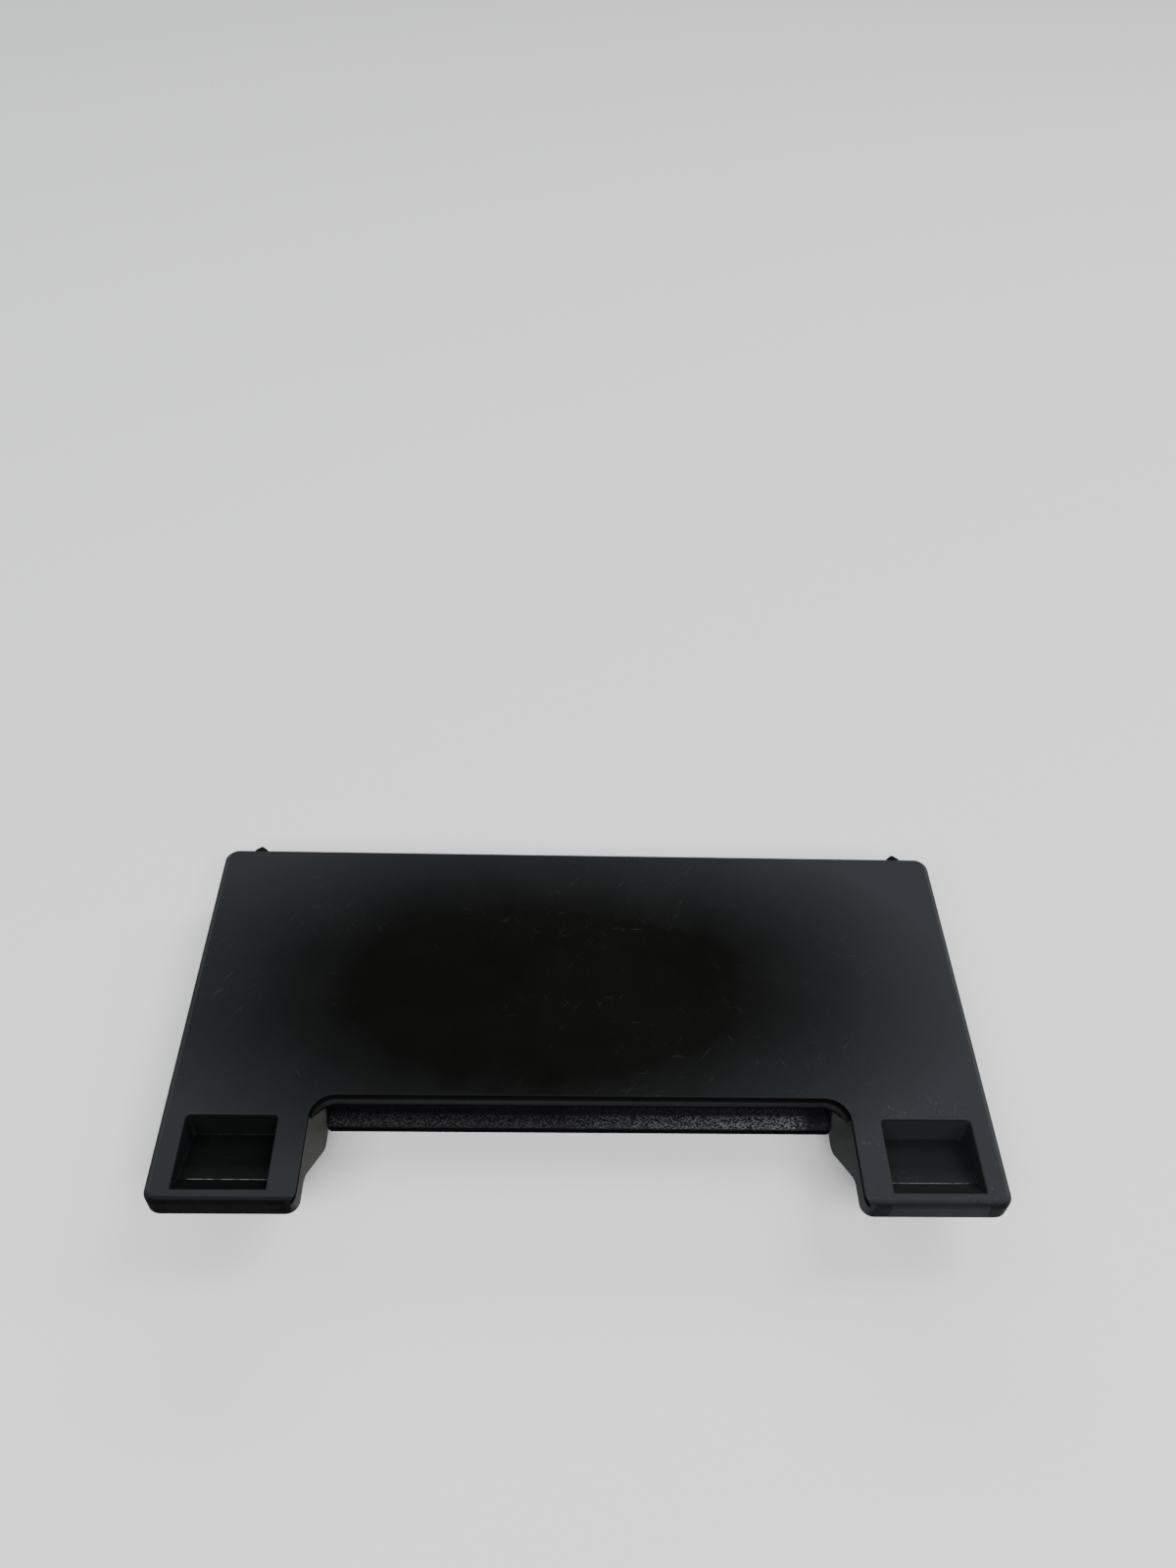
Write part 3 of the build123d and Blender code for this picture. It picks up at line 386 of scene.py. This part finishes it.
@dataclass(frozen=True)
class ShellPlastic(MouldedPlastic):
    """The lid's plastic: scratched, with dust and painted sheen towards its rim, painted light and
    shade, and painted highlights in the wells.
    """

    scuffs: float = 0.28
    # colour of dust and painted sheen on the deck, also used as painted light on the sides and in
    # the wells
    dust_and_sheen: Color = (0.0245, 0.0272, 0.0305)
    scratch: Color = (0.06, 0.06, 0.056)
    top: float = 0.034
    # middle and half sizes of the deck's darker middle, where the dust and painted sheen thin out
    dark_mid: tuple[float, float] = (-0.013, 0.008)
    dark_half: tuple[float, float] = (0.12, 0.064)
    # shares of painted light on the side faces, from the left to the right
    side_light: tuple[float, float] = (0.3, 1.0)
    well_side: tuple[float, float] = (0.108, 0.133)
    well_crease: float = -0.06655
    well_reach: tuple[float, float] = (0.1045, 0.1375)
    # shares of painted light in the left and the right well
    well_light: tuple[float, float] = (0.15, 0.7)
    # painted light on the notch's cheeks
    cheek_light: Color = (0.05, 0.05, 0.046)
    # painted highlight along the wells' creases
    crease_highlight: Color = (0.11, 0.115, 0.12)
    ripple: Color = (0.06, 0.062, 0.066)
    rim_half: float = 0.0972
    rim_back: float = -0.028
    rim_under: float = 0.0298
    arm_front: float = -0.0675

    def painted_shade(self, t: NodeTree) -> bpy.types.NodeSocket | None:
        """Mask of painted shade: a dark line on the rim round the notch, and darkening on part of
        the arms' front faces.

        Args:
            t: the node tree.

        Returns:
            The mask.
        """
        place = t.split()
        facing = t.facing()
        across = t.math("ABSOLUTE", place["X"], 0.0)
        # painted shade on the rim's faces under the deck round the notch
        rim = t.product(
            t.remap(facing["Z"], 0.75, 0.45, 0.0, 1.0),
            t.remap(place["Z"], self.rim_under - 0.0004, self.rim_under, 0.0, 1.0),
            t.remap(across, self.rim_half, self.rim_half + 0.0004, 1.0, 0.0),
            t.remap(place["Y"], self.rim_back, self.rim_back - 0.001, 0.0, 1.0))
        # painted shade on the arms' front faces, stronger on the left
        front = t.product(
            t.remap(facing["Y"], -0.4, -0.8, 0.0, 0.7),
            t.remap(place["Y"], self.arm_front, self.arm_front - 0.001, 0.0, 1.0),
            t.remap(place["X"], -0.02, 0.12, 1.0, 0.45))
        return t.math("MAXIMUM", rim, front)

    def scratched(self, t: NodeTree) -> bpy.types.NodeSocket:
        """Mask of the hairline scratches in three directions.

        Args:
            t: the node tree.

        Returns:
            The mask.
        """
        marks = t.scratches(0.1, 1500.0, self.scuffs)
        for angle, spacing in ((0.9, 1300.0), (2.2, 1700.0)):
            marks = t.math("MAXIMUM", marks, t.scratches(angle, spacing, self.scuffs))
        return marks

    def dust_and_sheen_reach(self, t: NodeTree, place: bpy.types.NodeOutputs,
              cloud: bpy.types.NodeSocket) -> bpy.types.NodeSocket:
        """Mask of dust and painted sheen round the darker middle of the deck.

        Args:
            t: the node tree.
            place: position by axis.
            cloud: slow variation that breaks up the mask's border.

        Returns:
            The mask.
        """
        squares = []
        for axis, middle, half in (("X", self.dark_mid[0], self.dark_half[0]),
                                   ("Y", self.dark_mid[1], self.dark_half[1])):
            away = t.math("MULTIPLY", t.math("SUBTRACT", place[axis], middle), 1.0 / half)
            squares.append(t.math("MULTIPLY", away, away))
        reach = t.math("ADD", t.math("ADD", *squares), t.math("MULTIPLY", cloud, 0.5))
        return t.remap(reach, 0.6, 2.1, 0.0, 1.0)

    def marks(self, t: NodeTree, colour: bpy.types.NodeSocket,
              cloud: bpy.types.NodeSocket) -> bpy.types.NodeSocket:
        """Scratches of the lid, dust and painted sheen on its deck, painted light on its sides,
        cheeks and wells, a painted highlight along the wells' creases, and lighter ripples on its
        right arm.

        Args:
            t: the node tree.
            colour: colour so far.
            cloud: slow variation over the surface.

        Returns:
            The colour with its marks.
        """
        place = t.split()
        facing = t.facing()
        across = t.math("ABSOLUTE", place["X"], 0.0)
        on_top = t.remap(place["Z"], self.top - 0.0012, self.top - 0.0004, 0.0, 1.0)
        below = t.product(t.remap(place["Z"], self.top - 0.0012, self.top - 0.0016, 0.0, 1.0),
                          t.remap(facing["Z"], -0.3, -0.1, 0.0, 1.0))
        colour = t.mix(self.scratched(t), colour, self.scratch)
        # dust and painted sheen on the deck, paler towards its rim
        dust_and_sheen_share = t.product(self.dust_and_sheen_reach(t, place, cloud),
                         t.remap(place["X"], -0.14, 0.12, 0.84, 1.0), on_top)
        colour = t.mix(dust_and_sheen_share, colour, self.dust_and_sheen)
        # painted light on the side faces, and a little on front faces right of the middle,
        # stronger towards the right
        sideways = t.remap(t.math("ABSOLUTE", facing["X"], 0.0), 0.25, 0.6, 0.0, 1.0)
        forward = t.product(t.remap(facing["Y"], -0.3, -0.7, 0.0, 1.0),
                            t.remap(place["X"], 0.0, 0.12, 0.0, 0.25))
        share = t.remap(place["X"], -0.12, 0.13, *self.side_light)
        sides = t.product(t.math("MAXIMUM", sideways, forward), share)
        colour = t.mix(sides, colour, self.dust_and_sheen)
        # painted light on the notch's cheeks, stronger on the left
        cheek_light = t.product(t.remap(across, self.rim_half, self.rim_half + 0.0004, 1.0, 0.0),
                          t.remap(place["Z"], self.rim_under, self.rim_under - 0.0006, 0.0, 1.0),
                          t.remap(place["Y"], -0.0372, -0.039, 0.0, 1.0),
                          t.remap(place["X"], -0.08, 0.08, 1.0, 0.4))
        colour = t.mix(cheek_light, colour, self.cheek_light)
        # painted light inside the wells, lighter in the right well than in the left
        inside = t.product(below, t.remap(place["Y"], -0.036, -0.038, 0.0, 1.0),
                           t.within(across, *self.well_reach, 0.0005),
                           t.remap(facing["Z"], 0.3, 0.6, 1.0, 0.68),
                           t.remap(place["X"], -0.05, 0.1, *self.well_light))
        colour = t.mix(inside, colour, self.dust_and_sheen)
        # a thin painted highlight along the crease at the front of each well
        line = t.product(
            t.within(place["Y"], self.well_crease - 0.0002, self.well_crease + 0.0002, 0.0001),
            t.within(across, *self.well_side, 0.0015), below,
            t.remap(t.noise(500.0, 2.0), 0.35, 0.55, 0.25, 1.0))
        colour = t.mix(line, colour, self.crease_highlight)
        # fine lighter ripples on the right arm
        ripple_noise = t.noise(1000.0, 2.0, 0.6, t.stretched((1.0, 0.5, 1.0)))
        ripple = t.product(t.remap(ripple_noise, 0.58, 0.72, 0.0, 0.7),
                           t.remap(place["X"], 0.084, 0.108, 0.0, 1.0),
                           t.remap(place["Y"], -0.032, -0.042, 0.0, 1.0),
                           t.remap(t.noise(60.0, 2.0), 0.45, 0.62, 0.0, 1.0), on_top)
        return t.mix(ripple, colour, self.ripple)


@dataclass(frozen=True)
class BandPlastic(MouldedPlastic):
    """The band's plastic: a painted highlight line between painted shade in its groove and on its
    foot.
    """

    # painted highlight along the band's rolled edge, in the sheen colour
    line: tuple[float, float] = (0.0258, 0.0284)
    sheen: Color = (0.011, 0.011, 0.0114)

    def painted_shade(self, t: NodeTree) -> bpy.types.NodeSocket | None:
        """Mask of painted shade in the groove above the line and on the foot below it."""
        lit = t.within(t.split()["Z"], *self.line, 0.0006)
        return t.remap(lit, 0.0, 1.0, 1.0, 0.0)

    def marks(self, t: NodeTree, colour: bpy.types.NodeSocket,
              cloud: bpy.types.NodeSocket) -> bpy.types.NodeSocket:
        """The painted highlight line.

        Args:
            t: the node tree.
            colour: colour so far.
            cloud: slow variation over the surface; not used.

        Returns:
            The colour with its line.
        """
        return t.mix(t.within(t.split()["Z"], *self.line, 0.0006), colour, self.sheen)


@dataclass(frozen=True)
class SillPlastic(MouldedPlastic):
    """The sill's coarse-grained plastic, with painted highlights on its grain, strongest on the
    right of its top face, and painted shade on its foot.
    """

    speckles: float = 0.6
    # where the painted highlights on the grain lie; the foot below the top face is painted shade
    lit_span: tuple[float, float] = (-0.01, 0.078)
    lit_from: tuple[float, float] = (0.0172, 0.0188)
    lit_back: tuple[float, float] = (-0.0372, -0.0384)
    lit_end: tuple[float, float] = (0.083, 0.078)
    # colour of the painted highlights on the grain
    wear_and_highlight: Color = (0.165, 0.169, 0.184)

    def painted_shade(self, t: NodeTree) -> bpy.types.NodeSocket | None:
        """Mask of painted shade on the sill's foot."""
        return t.remap(t.split()["Z"], *self.lit_from, 1.0, 0.0)

    def marks(self, t: NodeTree, colour: bpy.types.NodeSocket,
              cloud: bpy.types.NodeSocket) -> bpy.types.NodeSocket:
        """Painted highlights on the sill's grain, strongest on its top face.

        Args:
            t: the node tree.
            colour: colour so far.
            cloud: slow variation over the surface; not used.

        Returns:
            The colour with its grains.
        """
        place = t.split()
        # painted highlight: grain lit on the top face, mostly towards the right
        grains = t.product(t.remap(place["X"], *self.lit_span, 0.12, self.speckles),
                           t.remap(place["Z"], *self.lit_from, 0.12, 1.0),
                           t.remap(place["X"], *self.lit_end, 0.1, 1.0),
                           t.remap(place["Y"], *self.lit_back, 0.15, 1.0),
                           t.remap(t.noise(1500.0, 3.0, 0.7), 0.45, 0.6, 0.0, 1.0))
        return t.mix(grains, colour, self.wear_and_highlight)


@dataclass(frozen=True)
class Metal:
    """Bare or plated metal, brushed along one axis."""

    name: str
    colour: Color
    roughness: float = 0.3
    brushed: Color = (1.0, 30.0, 30.0)

    def build(self) -> bpy.types.Material:
        """Make the material.

        Returns:
            The finished material.
        """
        t = NodeTree(self.name)
        lines = t.noise(90.0, 4.0, 0.6, t.stretched(self.brushed))
        tint = tuple(0.8 * c for c in self.colour)
        t.link(t.mix(lines, tint, self.colour), t.shader.inputs["Base Color"])
        low, high = self.roughness - 0.07, self.roughness + 0.1
        t.link(t.remap(lines, 0.3, 0.7, low, high), t.shader.inputs["Roughness"])
        t.link(t.bump(lines, 0.00001, 0.5), t.shader.inputs["Normal"])
        t.shader.inputs["Metallic"].default_value = 1.0
        return t.material


@dataclass(frozen=True)
class Clear:
    """Clear glass or acrylic."""

    name: str
    colour: Color
    roughness: float = 0.02
    ior: float = 1.52

    def build(self) -> bpy.types.Material:
        """Make the material.

        Returns:
            The finished material.
        """
        t = NodeTree(self.name)
        smear = t.noise(25.0, 5.0, 0.6)
        t.link(t.remap(smear, 0.4, 0.8, self.roughness, self.roughness + 0.08),
               t.shader.inputs["Roughness"])
        t.link(t.mix(smear, self.colour, tuple(0.96 * c for c in self.colour)),
               t.shader.inputs["Base Color"])
        t.shader.inputs["Transmission Weight"].default_value = 1.0
        t.shader.inputs["IOR"].default_value = self.ior
        return t.material


@dataclass(frozen=True)
class Foam:
    """Open-cell foam with a fine porous surface."""

    name: str
    dark: Color
    light: Color

    def build(self) -> bpy.types.Material:
        """Make the material.

        Returns:
            The finished material.
        """
        t = NodeTree(self.name)
        pores = t.cells(1500.0)
        t.link(t.mix(t.remap(pores, 0.1, 0.6, 0.0, 1.0), self.dark, self.light),
               t.shader.inputs["Base Color"])
        t.shader.inputs["Roughness"].default_value = 0.9
        t.shader.inputs["Sheen Weight"].default_value = 0.25
        t.link(t.bump(pores, 0.0003), t.shader.inputs["Normal"])
        return t.material


FINISHES = {
    finish.name: finish.build()
    for finish in (
        ShellPlastic("satin_black_shell", (0.0024, 0.0025, 0.002), (0.0042, 0.0044, 0.0038),
                     0.46, 1100.0, 0.00006, gloss=0.03, wear=0.02),
        BandPlastic("glossy_black_band", (0.004, 0.004, 0.0042), (0.008, 0.008, 0.008),
                    0.3, 700.0, 0.00001, gloss=0.05, wear=0.0),
        MouldedPlastic("satin_black_base", (0.006, 0.006, 0.0065), (0.01, 0.01, 0.011),
                       0.5, 1000.0, 0.00006, gloss=0.12),
        SillPlastic("grained_black_sill", (0.002, 0.002, 0.0024), (0.005, 0.005, 0.006),
                    0.55, 900.0, 0.00012, gloss=0.03, wear=0.0),
        MouldedPlastic("grey_plastic", (0.02, 0.02, 0.022), (0.035, 0.035, 0.037), 0.5),
        MouldedPlastic("white_gear_plastic", (0.6, 0.59, 0.54), (0.74, 0.73, 0.68), 0.4),
        MouldedPlastic("black_chips", (0.008, 0.008, 0.009), (0.016, 0.016, 0.017), 0.42, 1600.0),
        MouldedPlastic("white_connector", (0.62, 0.6, 0.52), (0.72, 0.7, 0.62), 0.4),
        MouldedPlastic("black_rubber", (0.008, 0.008, 0.008), (0.018, 0.018, 0.018), 0.75, 700.0),
        MouldedPlastic("white_film", (0.72, 0.72, 0.69), (0.8, 0.8, 0.78), 0.55, 1500.0, 0.00001),
        MouldedPlastic("green_board", (0.004, 0.07, 0.025), (0.01, 0.12, 0.045), 0.3, 500.0,
                       0.00002, Coat.SATIN),
        Metal("bright_steel", (0.62, 0.63, 0.65), 0.2),
        Metal("steel_plate", (0.5, 0.51, 0.52), 0.36, (1.0, 18.0, 1.0)),
        Metal("zinc_screws", (0.55, 0.56, 0.58), 0.32, (12.0, 12.0, 1.0)),
        Metal("aluminium_cans", (0.7, 0.7, 0.71), 0.28, (1.0, 1.0, 25.0)),
        Metal("gold_contacts", (0.83, 0.62, 0.24), 0.22),
        Metal("brass_standoffs", (0.7, 0.52, 0.24), 0.28),
        Clear("clear_glass", (0.93, 0.97, 0.95)),
        Clear("light_guide_acrylic", (0.95, 0.72, 0.68), 0.1, 1.49),
        Foam("grey_foam", (0.03, 0.03, 0.032), (0.075, 0.075, 0.08)),
    )
}


# ---------------------------------------------------------------- camera and studio
@dataclass(frozen=True)
class StudioCamera:
    """A phone-like camera in front of and above the object, slightly rolled."""

    position: Color = (-0.01399, -0.26007, 0.42878)
    pitch: float = math.radians(46.43)
    heading: float = math.radians(2.72)
    roll: float = math.radians(2.90)
    lens: float = 28.46
    sensor: float = 36.0

    def build(self) -> bpy.types.Object:
        """Place the camera.

        Returns:
            The camera object.
        """
        forward = Vector((math.sin(self.heading) * math.cos(self.pitch),
                          math.cos(self.heading) * math.cos(self.pitch), -math.sin(self.pitch)))
        level = Vector((math.cos(self.heading), -math.sin(self.heading), 0.0))
        upright = level.cross(forward)
        right = level * math.cos(self.roll) + upright * math.sin(self.roll)
        up = upright * math.cos(self.roll) - level * math.sin(self.roll)
        turn = Matrix((right, up, -forward)).transposed().to_4x4()
        data = bpy.data.cameras.new("camera")
        data.lens = self.lens
        data.sensor_width = self.sensor
        data.clip_start = 0.01
        camera = bpy.data.objects.new("camera", data)
        camera.matrix_world = Matrix.Translation(self.position) @ turn
        bpy.context.scene.collection.objects.link(camera)
        bpy.context.scene.camera = camera
        return camera


@dataclass(frozen=True)
class SoftBox:
    """One rectangular studio light aimed at the object."""

    name: str
    place: Color
    size: tuple[float, float]
    power: float
    aim: Color = (0.0, 0.0, 0.02)
    colour: Color = (1.0, 1.0, 1.0)

    def build(self) -> None:
        """Hang the light and aim it."""
        data = bpy.data.lights.new(self.name, "AREA")
        data.shape = "RECTANGLE"
        data.size, data.size_y = self.size
        data.energy = self.power
        data.color = self.colour
        lamp = bpy.data.objects.new(self.name, data)
        lamp.location = self.place
        to_aim = Vector(self.aim) - Vector(self.place)
        lamp.rotation_euler = to_aim.to_track_quat("-Z", "Y").to_euler()
        bpy.context.scene.collection.objects.link(lamp)


@dataclass(frozen=True)
class Studio:
    """Pale seamless floor, soft boxes and a dim even sky."""

    floor_size: float = 6.0
    floor_colour: Color = (0.9, 0.9, 0.9)
    sky: float = 0.09
    boxes: tuple[SoftBox, ...] = field(default=(
        SoftBox("ceiling_box", (0.0, -1.9, 2.5), (3.8, 1.2), 160.0),
        SoftBox("back_box", (0.0, 4.8, 2.4), (5.0, 1.2), 90.0, (0.0, 3.0, 0.0)),
        SoftBox("left_box", (-1.15, 0.75, 1.7), (0.6, 1.4), 5.0, colour=(0.72, 0.88, 1.0)),
        SoftBox("right_box", (1.15, 0.7, 1.7), (0.6, 1.5), 22.0, colour=(0.96, 0.96, 0.97)),
    ))

    def build(self) -> None:
        """Lay the floor, hang the lights and set the sky."""
        bpy.ops.mesh.primitive_grid_add(x_subdivisions=2, y_subdivisions=2, size=self.floor_size)
        floor = bpy.context.object
        floor.name = "floor"
        t = NodeTree("pale_floor")
        t.link(t.mix(t.noise(3.0), self.floor_colour, tuple(0.99 * c for c in self.floor_colour)),
               t.shader.inputs["Base Color"])
        t.shader.inputs["Roughness"].default_value = 0.9
        floor.data.materials.append(t.material)
        for box in self.boxes:
            box.build()
        world = bpy.data.worlds.new("sky")
        world.use_nodes = True
        world.node_tree.nodes["Background"].inputs["Color"].default_value = (1.0, 1.0, 1.0, 1.0)
        world.node_tree.nodes["Background"].inputs["Strength"].default_value = self.sky
        bpy.context.scene.world = world


# ---------------------------------------------------------------- sub-assemblies
SLOTS = {part["node"]: part["material_slot"] for part in frame["record"]["subparts"]}


@dataclass
class SubAssembly:
    """CAD pieces that belong together and are dressed together."""

    nodes: tuple[str, ...] = ()

    def dress(self) -> None:
        """Give each piece the finish of its slot, and report it."""
        for name in self.nodes:
            mesh = frame["nodes"][name].data
            mesh.materials.clear()
            mesh.materials.append(FINISHES[SLOTS[name]])
            log.info("%s: %s in %s", type(self).__name__, name, SLOTS[name])

    def build(self) -> None:
        """Make and dress the sub-assembly."""
        self.dress()


@dataclass
class Lid(SubAssembly):
    """The hinged shell with its band, foam pad and white sheet."""

    nodes: tuple[str, ...] = ("lid_shell", "grip_band", "lid_foam_pad", "lid_white_sheet")
    pad_edge: float = 1.0 * MM
    pad_cells: tuple[int, int] = (96, 32)
    pad_profile: tuple[tuple[float, float], ...] = (
        (0.0, 0.0), (0.12, 0.55), (0.4, 1.0), (0.7, 1.0), (1.0, 0.8))

    def pad_layers(self) -> list[list[tuple[float, float, float]]]:
        """Grids of points through the pad's thickness, drawn in towards its faces.

        Returns:
            One grid for each step of the profile, row by row.
        """
        low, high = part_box("lid_foam_pad")
        columns, rows = self.pad_cells
        layers = []
        for share, out in self.pad_profile:
            inset = self.pad_edge * (1.0 - out)
            layers.append([
                (low[0] + inset + column / columns * (high[0] - low[0] - 2 * inset),
                 low[1] + inset + row / rows * (high[1] - low[1] - 2 * inset),
                 low[2] + share * (high[2] - low[2]))
                for row in range(rows + 1) for column in range(columns + 1)])
        return layers

    def pad(self) -> bpy.types.Object:
        """Foam pad with soft, slightly pulled-in edges, in place of its CAD block.

        Returns:
            The pad.
        """
        columns, rows = self.pad_cells
        stride = columns + 1
        layers = self.pad_layers()
        mesh = bmesh.new()
        grids = [[mesh.verts.new(point) for point in layer] for layer in (layers[0], layers[-1])]
        for grid in grids:
            for row in range(rows):
                for column in range(columns):
                    a = row * stride + column
                    mesh.faces.new((grid[a], grid[a + 1], grid[a + 1 + stride], grid[a + stride]))
        border = (list(range(columns)) +
                  [columns + row * stride for row in range(rows)] +
                  [rows * stride + column for column in range(columns, 0, -1)] +
                  [row * stride for row in range(rows, 0, -1)])
        rings = [[grids[0][i] for i in border]]
        rings += [[mesh.verts.new(layer[i]) for i in border] for layer in layers[1:-1]]
        rings.append([grids[1][i] for i in border])
        for lower, upper in zip(rings, rings[1:]):
            for i in range(len(border)):
                j = (i + 1) % len(border)
                mesh.faces.new((lower[i], lower[j], upper[j], upper[i]))
        bmesh.ops.recalc_face_normals(mesh, faces=mesh.faces)
        pad = finish_mesh(mesh, "foam_pad", "grey_foam")
        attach(pad, "lid")
        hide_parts("lid_foam_pad")
        return pad

    def build(self) -> None:
        """Dress the lid and make its pad."""
        self.dress()
        log.info("Lid: made %s", self.pad().name)


@dataclass
class Base(SubAssembly):
    """The tub with its bed, glass, sill and feet."""

    nodes: tuple[str, ...] = ("base_tub", "front_sill", "bed_frame", "glass_gasket", "scan_glass",
                              "calibration_strip", "lid_bumpers", "rubber_feet", "case_screws")


@dataclass
class Hinges(SubAssembly):
    """The two brackets and pins that carry the lid."""

    nodes: tuple[str, ...] = ("hinge_bracket_left", "hinge_bracket_right", "hinge_pins",
                              "hinge_screws")


@dataclass
class ScanDrive(SubAssembly):
    """Rod, belt, pulleys, gears and motor."""

    nodes: tuple[str, ...] = ("guide_rod", "rod_cradles", "drive_belt", "pulley_post",
                              "drive_pulley", "reduction_gear", "idler_bracket", "idler_pin",
                              "idler_pulley", "tension_spring", "spring_anchor", "stepper_motor",
                              "motor_posts", "motor_screws", "motor_shaft", "motor_pinion",
                              "home_sensor")


@dataclass
class ScanCarriage(SubAssembly):
    """The sensor bar and the block that carries it along the rod."""

    nodes: tuple[str, ...] = ("carriage", "rod_bushes", "belt_clamp", "sensor_housing",
                              "rod_lens_array", "light_guide", "sensor_board", "leaf_springs",
                              "glide_pads")


@dataclass
class Electronics(SubAssembly):
    """The main board with its parts and the data socket."""

    nodes: tuple[str, ...] = ("main_board", "board_standoffs", "board_screws", "board_chips",
                              "board_capacitors", "beeper", "ribbon_connector", "data_socket",
                              "socket_contacts")


def finish_mesh(mesh: bmesh.types.BMesh, name: str, finish: str) -> bpy.types.Object:
    """Turn a bmesh into a smooth-shaded object in a finish.

    Args:
        mesh: the geometry, freed here.
        name: the piece's name.
        finish: key of its finish.

    Returns:
        The new object.
    """
    data = bpy.data.meshes.new(name)
    mesh.to_mesh(data)
    mesh.free()
    data.materials.append(FINISHES[finish])
    data.shade_smooth()
    piece = bpy.data.objects.new(name, data)
    bpy.context.scene.collection.objects.link(piece)
    return piece


def main() -> None:
    """Build the camera, the studio and every sub-assembly in order."""
    logging.basicConfig(level=logging.INFO, format="%(name)s: %(message)s")
    StudioCamera().build()
    Studio().build()
    for group in (Base(), Hinges(), ScanDrive(), ScanCarriage(), Electronics(), Lid()):
        group.build()


if __name__ == "__main__":
    main()
